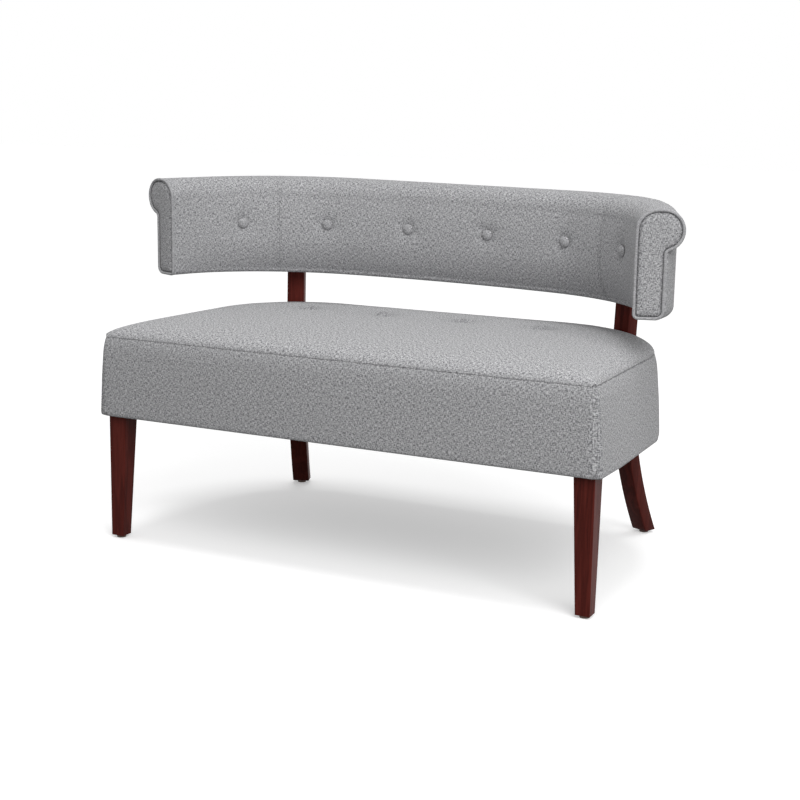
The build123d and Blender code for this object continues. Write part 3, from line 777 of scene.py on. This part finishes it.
seatCushion, cornerPoints, cornerLinks = makeSeat()
settle(seatCushion, "upholstery", "seat_top_panel", "seat_front_band", "seat_side_band_left",
       "seat_side_band_right", "seat_back_band", "seat_foam", "seat_border_wadding", "spring_felt")
sewRun("seatCornerStitches", cornerPoints, cornerLinks, seat)
print("seat sewn,", len(seatCushion.data.polygons), "faces")


# back: a band that curves round the seat and rolls over at the top
back = {"front": 233, "centreRadius": 1442, "centreTurn": 10, "cornerRadius": 362, "endTurn": 69.5,
        "endStraight": 42, "outer": 334, "outerFlat": 265, "outerRadius": 301,
        "endDepth": 55, "wingStart": 498,
        "low": 545, "sag": 4.5, "top": 760, "endDrop": 3, "tilt": -0.75, "toe": 9, "foot": 15,
        "crown": 9, "curl": 16, "curlFrom": 622, "endSwell": 8, "swellDeep": 60,
        "roll": 40, "rollWidth": 85, "overhang": 6, "neck": 8, "wrap": 2.5,
        "waves": [(0.8, 80, 60, 3.1), (0.35, 26, 22, 9.4)],  # height, length, rise, seed
        "rings": 118, "wingSeam": 406, "seamRows": (-4.4, -2.6, -1.2, 0, 1.2, 2.6, 4.4),
        # seamShade, neckShade, browShade and toeShade are painted shade: along the wing seams, in the neck
        # under the roll, on the brow of the roll and along the lower edge
        "seamDip": 0.8, "seamDipWidths": (2.0, 15), "seamShade": 0.35, "seamShadeWidth": 1.3,
        "endRows": (0, 0.6, 1.4, 2.5, 5), "rowRoom": 3, "neckShade": 0.7, "neckRows": 3,
        "browShade": 0.14, "toeShade": 0.22, "toeShadeTop": 575, "toeShadeOver": 30,
        "stitchPitch": 5.2, "stitchLength": 3.4, "stitchThick": 0.8,
        "stitchApart": 4.4, "stitchLift": 0.25, "stitchEnd": 14,  # points short of the neck
        "dent": {"count": 6, "spacing": 196, "height": 657, "depth": 7.5, "width": 17, "pull": 3.2,
                 "pullWidth": 46, "creases": 6, "creaseHigh": 0.5, "creaseFrom": 24, "creaseWidth": 12}}
dent = back["dent"]
centreLength = back["centreRadius"] * radians(back["centreTurn"])
cornerLength = back["cornerRadius"] * radians(back["endTurn"] - back["centreTurn"])
backReach = centreLength + cornerLength + back["endStraight"]
buttonPlaces = [dent["spacing"] * (i - (dent["count"] - 1) / 2) for i in range(dent["count"])]


# the front line of the back, by length from its middle: x, y and the turn
def frontAt(place):
    along, side = abs(place), 1 if place >= 0 else -1
    if along <= centreLength:
        turn = along / back["centreRadius"]
        x = back["centreRadius"] * sin(turn)
        y = back["front"] - back["centreRadius"] * (1 - cos(turn))
    else:
        start = radians(back["centreTurn"])
        bend = min(along, centreLength + cornerLength) - centreLength
        rest = along - centreLength - bend
        turn = start + bend / back["cornerRadius"]
        swing = back["centreRadius"] - back["cornerRadius"]
        x = swing * sin(start) + back["cornerRadius"] * sin(turn) + rest * cos(turn)
        y = back["front"] - back["centreRadius"] + swing * cos(start)
        y = y + back["cornerRadius"] * cos(turn) - rest * sin(turn)
    return side * x, y, side * turn


# how far the back's outer face lies behind a point of its front
def outerReach(x, y, turn):
    flat = (back["outer"] - y) / cos(turn)
    if x + flat * sin(turn) <= back["outerFlat"]:
        return flat
    fromX, fromY = x - back["outerFlat"], y - back["outer"] + back["outerRadius"]
    half = fromX * sin(turn) + fromY * cos(turn)
    return sqrt(half * half - fromX ** 2 - fromY ** 2 + back["outerRadius"] ** 2) - half


def depthAt(place):
    along = min(abs(place), backReach)
    depth = outerReach(*frontAt(min(along, back["wingStart"])))
    share = max(0, along - back["wingStart"]) / (backReach - back["wingStart"])
    return depth + (back["endDepth"] - depth) * share


def arcPoints(centre, radius, start, end, count):
    angles = [start + (end - start) * i / count for i in range(count)]
    return [(centre[0] + radius * cos(a), centre[1] + radius * sin(a)) for a in angles]


def linePoints(start, end, count):
    across, up = end[0] - start[0], end[1] - start[1]
    return [(start[0] + across * i / count, start[1] + up * i / count) for i in range(count)]


def curlAt(z, place):
    share = max(0, (back["curlFrom"] - z) / (back["curlFrom"] - back["low"] - back["toe"]))
    return back["curl"] * share ** 2 * (1 - abs(place / backReach) ** 6)


def faceAt(z, place):
    bottom, top = back["low"] + back["toe"], back["top"] - back["roll"]
    across = 2 * (z - bottom) / (top - bottom) - 1
    return curlAt(z, place) - back["crown"] * (1 - (place / backReach) ** 6) * (1 - across ** 2)


def swellAt(place):
    share = (abs(place) - back["wingSeam"]) / (backReach - back["wingSeam"])
    return back["endSwell"] * np.clip(share, 0, 1) ** 2


# points round the back's section, from the middle of its underside over the face
ringCounts = {"sole": 4, "toe": 8, "face": 44, "brow": 18, "crest": 6, "roll": 24, "neck": 6, "outer": 18,
              "heel": 6}


def backRing(place):
    depth, low, foot, roll, neck = depthAt(place), back["low"], back["foot"], back["roll"], back["neck"]
    low -= back["sag"] * (1 - (place / backReach) ** 2)
    toe, top = back["toe"], back["top"] - back["endDrop"] * (place / backReach) ** 4
    rollZ = top - roll
    rollU = max(back["rollWidth"], depth + back["overhang"]) - roll
    across = rollU - depth - neck
    rise = sqrt((roll + neck) ** 2 - across ** 2)
    lean = atan2(rise, across)
    curl = curlAt(low + toe, place)
    c = ringCounts
    ring = linePoints((depth / 2, low), (toe + curl, low), c["sole"])
    ring += arcPoints((toe + curl, low + toe), toe, -pi / 2, -pi, c["toe"])
    heights = [low + toe + (rollZ - low - toe) * i / c["face"] for i in range(c["face"])]
    ring += [(faceAt(z, place), z) for z in heights]
    ring += arcPoints((roll, rollZ), roll, pi, pi / 2, c["brow"])
    ring += linePoints((roll, top), (rollU, top), c["crest"])
    ring += arcPoints((rollU, rollZ), roll, pi / 2, lean - pi, c["roll"])
    ring += arcPoints((depth + neck, rollZ - rise), neck, lean, pi, c["neck"])
    ring += linePoints((depth, rollZ - rise), (depth, low + foot), c["outer"])
    ring += arcPoints((depth - foot, low + foot), foot, 0, -pi / 2, c["heel"])
    ring += linePoints((depth - foot, low), (depth / 2, low), c["sole"])
    ring = np.array(ring)
    ring[:, 0] -= swellAt(place) * np.clip(1 - ring[:, 0] / back["swellDeep"], 0, 1)
    return ring


ringEnds = np.cumsum([*ringCounts.values(), ringCounts["sole"]]).tolist()
faceStart, browEnd, neckStart, outerStart, heelEnd = (ringEnds[i] for i in (1, 3, 5, 6, 8))


def wrapWeights():
    weights = np.zeros(ringEnds[-1])
    weights[neckStart:outerStart] = np.linspace(0, 1, outerStart - neckStart)
    weights[outerStart:heelEnd] = 1
    weights[heelEnd:] = np.linspace(1, 0, len(weights) - heelEnd)
    return weights


endWeights = wrapWeights()


# the section with its button dents, seam dips and small waves
def shapedRing(place):
    ring = backRing(place)
    fromEnd = backReach - abs(place)
    if fromEnd < back["wrap"]:
        share = (back["wrap"] - fromEnd) / back["wrap"]
        ring[:, 0] -= endWeights * back["wrap"] * (1 - sqrt(max(0, 1 - share * share)))
    u, z = ring[faceStart:browEnd, 0], ring[faceStart:browEnd, 1]
    for spot in buttonPlaces:
        away = np.hypot(place - spot, z - dent["height"])
        angle = np.arctan2(z - dent["height"], place - spot)
        u += dent["depth"] * softBump(away, dent["width"])
        u += dent["pull"] * softBump(away, dent["pullWidth"])
        creases = dent["creaseHigh"] * np.cos(dent["creases"] * angle + spot)
        u += creases * softBump(away - dent["creaseFrom"], dent["creaseWidth"])
    gap = abs(abs(place) - back["wingSeam"])
    u += back["seamDip"] * sum(softBump(gap, width) for width in back["seamDipWidths"])
    u += [sum(high * noise.noise(Vector((place / long, pz / rise, seed)))
              for high, long, rise, seed in back["waves"]) for pz in z]
    return ring


# sets a section in its place on the front line, tilted a little to the right
def toSpace(place, ring, ahead=0.0):
    x, y, turn = frontAt(place)
    side = 1 if place >= 0 else -1
    across = x + sin(turn) * ring[:, 0] + side * cos(turn) * ahead
    deep = y + cos(turn) * ring[:, 0] - side * sin(turn) * ahead
    return np.column_stack([across, deep, ring[:, 1] + across * tan(radians(back["tilt"]))])


def makeBack():
    seams = [side * (back["wingSeam"] + gap) for side in (-1, 1) for gap in back["seamRows"]]
    ends = [side * (backReach - gap) for side in (-1, 1) for gap in back["endRows"]]
    plain = [backReach * i / back["rings"] for i in range(-back["rings"], back["rings"] + 1)]
    crowded = np.array(seams + ends)
    places = sorted(seams + ends + [p for p in plain if np.min(np.abs(crowded - p)) > back["rowRoom"]])
    rings = [shapedRing(place) for place in places]
    spaces = [toSpace(place, ring) for place, ring in zip(places, rings)]
    count = len(rings[0])
    points = np.concatenate(spaces)
    clothRows = [[(place / 1000, length / 1000) for length in runLengths(ring)]
                 for place, ring in zip(places, rings)]
    faces, uvs = [], []
    for i, (here, there) in enumerate(zip(clothRows, clothRows[1:])):
        a, b = i * count, (i + 1) * count
        for j in range(count):
            k = (j + 1) % count
            faces.append([a + j, b + j, b + k, a + k])
            uvs += [here[j], there[j], there[j + 1], here[j + 1]]
    for start, ring in ((0, rings[0]), (len(points) - count, rings[-1])):
        faces.append(list(range(start, start + count)))
        uvs += [tuple(p / 1000) for p in ring]
    heights = np.array([ring[:, 1] for ring in rings])
    # painted shade on the brow, along the lower edge, at the wing seams and in the neck
    brow = np.clip((heights - back["top"] + back["roll"]) / back["roll"], 0, 1)
    toe = np.clip((back["toeShadeTop"] - heights) / back["toeShadeOver"], 0, 1) ** 2
    paintedShade = back["browShade"] * brow + back["toeShade"] * toe
    gaps = np.abs(np.abs(places) - back["wingSeam"])
    seamMark = back["seamShade"] * softBump(gaps, back["seamShadeWidth"])[:, None]
    face, neck = slice(faceStart, neckStart), slice(outerStart - back["neckRows"], outerStart)
    paintedShade[:, face] = np.maximum(paintedShade[:, face], seamMark)
    paintedShade[:, neck] = np.maximum(paintedShade[:, neck], back["neckShade"])
    piece = addPiece("backRest", metres(points), faces, cloth, uvs, {"paintedShade": paintedShade.ravel()})
    stitchPoints, stitchLinks = [], []
    sewn = slice(faceStart, neckStart - back["stitchEnd"])
    for gap in (side * (back["wingSeam"] + apart) for side in (-1, 1)
                for apart in (-back["stitchApart"], back["stitchApart"])):
        row = int(np.argmin(np.abs(np.array(places) - gap)))
        run = spaces[row][sewn].copy()
        lift = rings[row].copy()
        lift[:, 0] -= back["stitchLift"]
        run[:, :2] = toSpace(places[row], lift)[sewn, :2]
        stitchLinks += chain(len(run), len(stitchPoints))
        stitchPoints += list(run)
    return piece, stitchPoints, stitchLinks


backRest, wingPoints, wingLinks = makeBack()
settle(backRest, "upholstery", "back_centre_panel", "back_wing_panel_left", "back_wing_panel_right",
       "back_outer_panel", "back_foam_centre", "back_foam_shoulder_left", "back_foam_shoulder_right",
       "back_foam_wing_left", "back_foam_wing_right")
sewRun("wingSeamStitches", wingPoints, wingLinks, back)
print("back sewn,", len(backRest.data.polygons), "faces")


# end panels, with piping round each
endPanel = {"inset": 5.2, "step": 4.0, "grid": 5.0, "gridRoom": 2.6, "crown": 5.0, "soft": 17, "raise": 0.4,
            # edgeShade is painted shade along the panel's edge by the piping
            "under": 2.5, "edgeShade": 0.8, "edgeShadeWidth": 1.6,
            "pipingRadius": 3.1, "pipingInset": 2.2, "pipingLift": 2.0, "pipingStep": 3.0, "pipingPitch": 4.0}


def insetLoop(loop, amount):
    tangent = np.roll(loop, -1, 0) - np.roll(loop, 1, 0)
    inward = np.column_stack([tangent[:, 1], -tangent[:, 0]])
    inward /= np.linalg.norm(inward, axis=1)[:, None]
    return loop + inward * amount


def evenLoop(loop, step):
    closed = np.vstack([loop, loop[:1]])
    lengths = np.concatenate([[0], np.cumsum(np.linalg.norm(np.diff(closed, axis=0), axis=1))])
    wanted = np.linspace(0, lengths[-1], int(lengths[-1] / step) + 1)[:-1]
    return np.column_stack([np.interp(wanted, lengths, closed[:, axis]) for axis in range(2)])


def insideLoop(point, loop):
    x, y = point
    after = np.roll(loop, -1, 0)
    crosses = (loop[:, 1] > y) != (after[:, 1] > y)
    rise = np.where(after[:, 1] == loop[:, 1], 1e-9, after[:, 1] - loop[:, 1])
    where = loop[:, 0] + (y - loop[:, 1]) / rise * (after[:, 0] - loop[:, 0])
    return bool(np.count_nonzero(crosses & (where > x)) % 2)


def awayFrom(point, loop):
    return np.hypot(*(loop - point).T)


def makeEndPanel(name, side):
    def stoodOff(flatPoint, lift):
        return toSpace(side * backReach, np.array([flatPoint]), lift)[0]

    ring = shapedRing(backReach)
    outline = evenLoop(insetLoop(ring, endPanel["inset"]), endPanel["step"])
    low, high = outline.min(0), outline.max(0)
    deep, tall = (np.arange(low[axis], high[axis], endPanel["grid"]) for axis in (0, 1))
    inner = [(u, z) for u in deep for z in tall if insideLoop((u, z), outline)]
    inner = [p for p in inner if np.min(awayFrom(p, outline)) > endPanel["gridRoom"]]
    flat = np.vstack([outline, inner])
    count = len(outline)
    rim = list(range(count))
    made = delaunay_2d_cdt([Vector(p) for p in flat], chain(count, closed=True), [rim], 1, 0.01)
    flat = np.array([tuple(p) for p in made[0]])
    faces = [list(f) for f in made[2]]
    away = np.array([np.min(awayFrom(p, outline)) for p in flat])
    crown = endPanel["crown"] * np.sqrt(1 - (1 - np.clip(away / endPanel["soft"], 0, 1)) ** 2)
    top = [stoodOff(p, height + endPanel["raise"]) for p, height in zip(flat, crown)]
    sunk = [stoodOff(p, -endPanel["under"]) for p in outline]
    nearest = [int(np.argmin(awayFrom(p, flat))) for p in outline]
    base = len(top)
    uvs = [tuple(flat[i] / 1000) for face in faces for i in face]
    for i in rim:
        k = (i + 1) % count
        faces.append([nearest[i], nearest[k], base + k, base + i])
        uvs += [tuple(outline[j] / 1000) for j in (i, k, k, i)]
    faces.append([base + i for i in rim])
    uvs += [tuple(p / 1000) for p in outline]
    # painted shade along the edge by the piping, and full painted shade on the rim that tucks under
    edgeShade = softBump(away, endPanel["edgeShadeWidth"]) * endPanel["edgeShade"]
    marks = {"paintedShade": np.concatenate([edgeShade, np.ones(count)])}
    piece = addPiece(name, metres(top + sunk), faces, cloth, uvs, marks)
    path = evenLoop(insetLoop(ring, endPanel["pipingInset"]), endPanel["pipingStep"])
    return piece, [stoodOff(p, endPanel["pipingLift"]) for p in path]


for side, word in ((-1, "left"), (1, "right")):
    panel, path = makeEndPanel("endPanel" + word.title(), side)
    settle(panel, "upholstery", "back_end_panel_" + word)
    sizes = {"Pitch": endPanel["pipingPitch"] / 1000, "Radius": endPanel["pipingRadius"] / 1000}
    links = chain(len(path), closed=True)
    pipe = runTree("endPiping" + word.title(), pipingTree, metres(path), links, {**sizes, "Cover": piping})
    settle(pipe, "upholstery", "welt_cord_" + word)
print("end panels piped")


# covered buttons
# rimShade is painted shade at the button's base
button = {"radius": 11.6, "dome": 6.4, "skirt": 3.2, "seatDepth": 6.4, "rings": 9, "spokes": 32, "rim": 0.9,
          "gather": 0.25, "gathers": 16, "clothScale": 1.3, "rimShade": 0.9}


def makeButton():
    radius, spokes, brim = button["radius"], button["spokes"], button["skirt"] * 0.5
    rises = [pi / 2 * (i + 1) / button["rings"] for i in range(button["rings"] - 1)]
    profile = [(radius * button["rim"], -2.0), (radius, -0.4), (radius, brim)]
    profile += [(radius * cos(rise), brim + button["dome"] * sin(rise)) for rise in rises]
    points = []
    for level, (r, h) in enumerate(profile):
        gather = button["gather"] if level in (1, 2, 3) else 0.0
        for turn in (2 * pi * s / spokes for s in range(spokes)):
            reach = r + gather * cos(button["gathers"] * turn)
            points.append((reach * cos(turn), reach * sin(turn), h))
    points.append((0, 0, brim + button["dome"]))
    faces = gridFaces(len(profile), spokes, closed=True) + [list(range(spokes))]
    last = (len(profile) - 1) * spokes
    faces += [[last + s, last + (s + 1) % spokes, len(points) - 1] for s in range(spokes)]
    points = np.array(points) / 1000
    uvs = [tuple(points[i, :2] * button["clothScale"]) for face in faces for i in face]
    # painted shade on the two lowest rings, where the button sits in its dent
    marks = np.zeros(len(points))
    marks[:spokes * 2] = button["rimShade"]
    return addPiece("buttonShape", points, faces, cloth, uvs, {"paintedShade": marks})


buttonShape = makeButton()
buttonSpots, buttonFacing = [], []
for place in buttonPlaces:
    turn = frontAt(place)[2]
    depth = faceAt(dent["height"], place) + button["seatDepth"] - swellAt(place)
    buttonSpots.append(toSpace(place, np.array([(depth, dent["height"])]))[0])
    buttonFacing.append((-sin(turn), -cos(turn), 0))
backButtons = runTree("backButtons", buttonTree, metres(buttonSpots), [],
                      {"Button": buttonShape, "Cover": cloth}, buttonFacing)
bpy.data.objects.remove(buttonShape)
settle(backButtons, "upholstery", "back_buttons")
print("buttons set")


# rear legs: sabre legs that run up into the back as posts
rearLeg = {"turn": 22, "offset": 283, "thick": 32, "wide": 40, "cover": 7, "foot": 6, "footBack": 95,
           "middle": 220, "middleBack": 20, "waist": 440, "forward": 6, "top": 690,
           "edge": 2.2, "edgeSteps": 4, "footEdge": [(0, 1.5), (0.6, 0.5), (1.6, 0)],  # rise, inset
           "rowsFrom": 14, "rows": 70}


# an arc through foot, middle and waist, then straight up into the back
def sweepAt(height):
    a = np.array((rearLeg["footBack"], rearLeg["foot"]), float)
    b = np.array((rearLeg["middleBack"], rearLeg["middle"]), float)
    c = np.array((0, rearLeg["waist"]), float)
    system = 2 * np.array([b - a, c - a])
    centre = np.linalg.solve(system, [b @ b - a @ a, c @ c - a @ a])
    radius = np.linalg.norm(a - centre)
    if height <= rearLeg["waist"]:
        return centre[0] - sqrt(radius ** 2 - (height - centre[1]) ** 2)
    return rearLeg["forward"] * min(1, (height - rearLeg["waist"]) / (back["low"] - rearLeg["waist"]))


def edgedSection(inset):
    halfA, halfB, edge = rearLeg["thick"] / 2 - inset, rearLeg["wide"] / 2 - inset, rearLeg["edge"]
    section = []
    for signA, signB, start in ((1, 1, 0), (-1, 1, pi / 2), (-1, -1, pi), (1, -1, 3 * pi / 2)):
        centre = (signA * (halfA - edge), signB * (halfB - edge))
        turns = [start + pi / 2 * i / rearLeg["edgeSteps"] for i in range(rearLeg["edgeSteps"] + 1)]
        section += [(centre[0] + edge * cos(turn), centre[1] + edge * sin(turn)) for turn in turns]
    return section


def makeRearLeg(name, side):
    turn = radians(rearLeg["turn"])
    originX, originY = rearLeg["offset"] * cos(turn), -rearLeg["offset"] * sin(turn)
    line = outerReach(originX, originY, turn) - rearLeg["cover"] - rearLeg["thick"] / 2
    waist = line - rearLeg["forward"]
    insets = {rearLeg["foot"] + rise: inset for rise, inset in rearLeg["footEdge"]}
    heights = [*insets, *np.linspace(rearLeg["rowsFrom"], rearLeg["top"], rearLeg["rows"])]
    points = []
    for height in heights:
        for a, b in edgedSection(insets.get(height, 0)):
            reach = waist + sweepAt(height) + a
            x = originX + sin(turn) * reach + cos(turn) * b
            y = originY + cos(turn) * reach - sin(turn) * b
            points.append((side * x, y, height))
    count = len(points) // len(heights)
    faces = gridFaces(len(heights), count, closed=True)
    faces += [list(range(count)), list(range(len(points) - count, len(points)))]
    piece = addPiece(name, metres(points), faces, paintedLitCherry)
    for flat in piece.data.polygons[-2:]:
        flat.use_smooth = False
    return piece


for side, word in ((-1, "left"), (1, "right")):
    settle(makeRearLeg("rearLeg" + word.title(), side), "leg_wood", "rear_leg_" + word)
print("rear legs shaped")


# black undercloth, stapled under the seat frame
undercloth = {"height": 276.9, "inset": 11, "sag": 3.5, "rows": 60, "columns": 100}


def makeUndercloth():
    inset = undercloth["inset"]
    rows = np.linspace(seat["front"] + inset, seat["back"] - inset, undercloth["rows"])
    columns = np.linspace(-1, 1, undercloth["columns"])
    x = np.outer(halfWidthAt(rows) - inset, columns)
    y = np.repeat(rows[:, None], len(columns), axis=1)
    dip = np.clip(1 - np.abs(columns) ** 4, 0, 1)[None, :] * np.sin(np.linspace(0, pi, len(rows)))[:, None]
    z = undercloth["height"] - undercloth["sag"] * dip
    points = np.stack([x, y, z], -1).reshape(-1, 3)
    faces = gridFaces(len(rows), len(columns))
    return addPiece("undercloth", metres(points), faces, blackCloth)


undersheet = makeUndercloth()
settle(undersheet, "dust_cloth", "dust_cover")
print("undercloth stretched")


# CAD nodes that stay get their finishes
kept = {cherry: ["front_leg_left", "front_leg_right"],
        glideBrown: ["foot_glides"],
        zinc: ["front_leg_bolts", "rear_leg_bolts", "corner_block_screws", "seat_springs", "spring_clips",
               "back_frame_screws"],
        twine: ["seat_tuft_ties", "button_twines"]}
named = [name for names in kept.values() for name in names]
kept[framewood] = [name for name, node in cad.items() if name not in named and not node.hide_render]
for finish, names in kept.items():
    for name in names:
        cad[name].data.materials.clear()
        cad[name].data.materials.append(finish)
print("CAD nodes finished")


# floor, light and camera
studio = {"floorSize": 40, "floorTone": 0.85, "floorBounce": 0.18, "floorGlow": 0.375, "ambient": 0.465,
          "tint": (1.0, 1.0, 1.0),
          "topSun": {"from": (0.02, -0.04, 1.0), "strength": 0.9, "angle": 18},
          "keyPanel": {"place": (2.85, -2.8, 3.1), "aim": (0, 0, 0.4), "size": 3.2, "power": 145}}
shot = {"place": (1.4616, -2.8614 + shiftY / 1000, 0.9454), "yaw": 26.985, "pitch": 11.122, "roll": 0.892,
        "lens": 68.774, "sensor": 36, "farthest": 200}


# 1 where the camera, gloss or glass looks at a surface, 0 for the light that it sends on
def seenDirectly(tree):
    path = tree.nodes.new("ShaderNodeLightPath")
    seen = mathNode(tree, "MAXIMUM", path.outputs["Is Camera Ray"], path.outputs["Is Glossy Ray"])
    return mathNode(tree, "MAXIMUM", seen, path.outputs["Is Transmission Ray"])


def makeFloor():
    finish = bpy.data.materials.new("paleFloor")
    finish.use_nodes = True
    tree = finish.node_tree
    tree.nodes.clear()
    diffuse = tree.nodes.new("ShaderNodeBsdfDiffuse")
    seen = seenDirectly(tree)
    tone = rangeNode(tree, seen, 0, 1, studio["floorBounce"], studio["floorTone"])
    tree.links.new(vectorNode(tree, tone, tone, tone), diffuse.inputs["Color"])
    glow = tree.nodes.new("ShaderNodeEmission")
    tree.links.new(mathNode(tree, "MULTIPLY", seen, studio["floorGlow"]), glow.inputs["Strength"])
    both = tree.nodes.new("ShaderNodeAddShader")
    tree.links.new(diffuse.outputs[0], both.inputs[0])
    tree.links.new(glow.outputs[0], both.inputs[1])
    tree.links.new(both.outputs[0], tree.nodes.new("ShaderNodeOutputMaterial").inputs["Surface"])
    half = studio["floorSize"] / 2
    corners = [(-half, -half, 0), (half, -half, 0), (half, half, 0), (-half, half, 0)]
    floor = addPiece("floor", corners, [[0, 1, 2, 3]], finish)


def makeWorld():
    world = bpy.data.worlds.new("studio")
    world.use_nodes = True
    scene.world = world
    tree = world.node_tree
    sky = tree.nodes["Background"]
    sky.inputs["Color"].default_value = (*studio["tint"], 1)
    seen = seenDirectly(tree)
    level = mathNode(tree, "MULTIPLY_ADD", seen, 1 - studio["ambient"])
    level.node.inputs[2].default_value = studio["ambient"]
    tree.links.new(level, sky.inputs["Strength"])


def makeSun(name, sun):
    light = bpy.data.lights.new(name, "SUN")
    light.energy = sun["strength"]
    light.angle = radians(sun["angle"])
    lamp = bpy.data.objects.new(name, light)
    lamp.rotation_euler = Vector(sun["from"]).to_track_quat("Z", "Y").to_euler()
    scene.collection.objects.link(lamp)


def makePanelLight(name, panel):
    light = bpy.data.lights.new(name, "AREA")
    light.energy = panel["power"]
    light.size = panel["size"]
    lamp = bpy.data.objects.new(name, light)
    lamp.location = panel["place"]
    lamp.rotation_euler = (Vector(panel["place"]) - Vector(panel["aim"])).to_track_quat("Z", "Y").to_euler()
    scene.collection.objects.link(lamp)


def makeCamera():
    yaw, pitch, roll = (radians(shot[k]) for k in ("yaw", "pitch", "roll"))
    forward = Vector((-sin(yaw) * cos(pitch), cos(yaw) * cos(pitch), -sin(pitch)))
    right = Vector((cos(yaw), sin(yaw), 0))
    up = right.cross(forward)
    rightRolled = right * cos(roll) + up * sin(roll)
    upRolled = up * cos(roll) - right * sin(roll)
    data = bpy.data.cameras.new("photoCamera")
    data.sensor_width = shot["sensor"]
    data.lens = shot["lens"]
    data.clip_end = shot["farthest"]
    camera = bpy.data.objects.new("photoCamera", data)
    turned = Matrix((rightRolled, upRolled, -forward)).transposed().to_4x4()
    camera.matrix_world = Matrix.Translation(shot["place"]) @ turned
    scene.collection.objects.link(camera)
    scene.camera = camera


makeFloor()
makeWorld()
makeSun("topSun", studio["topSun"])
makePanelLight("keyPanel", studio["keyPanel"])
makeCamera()
print("studio lit")
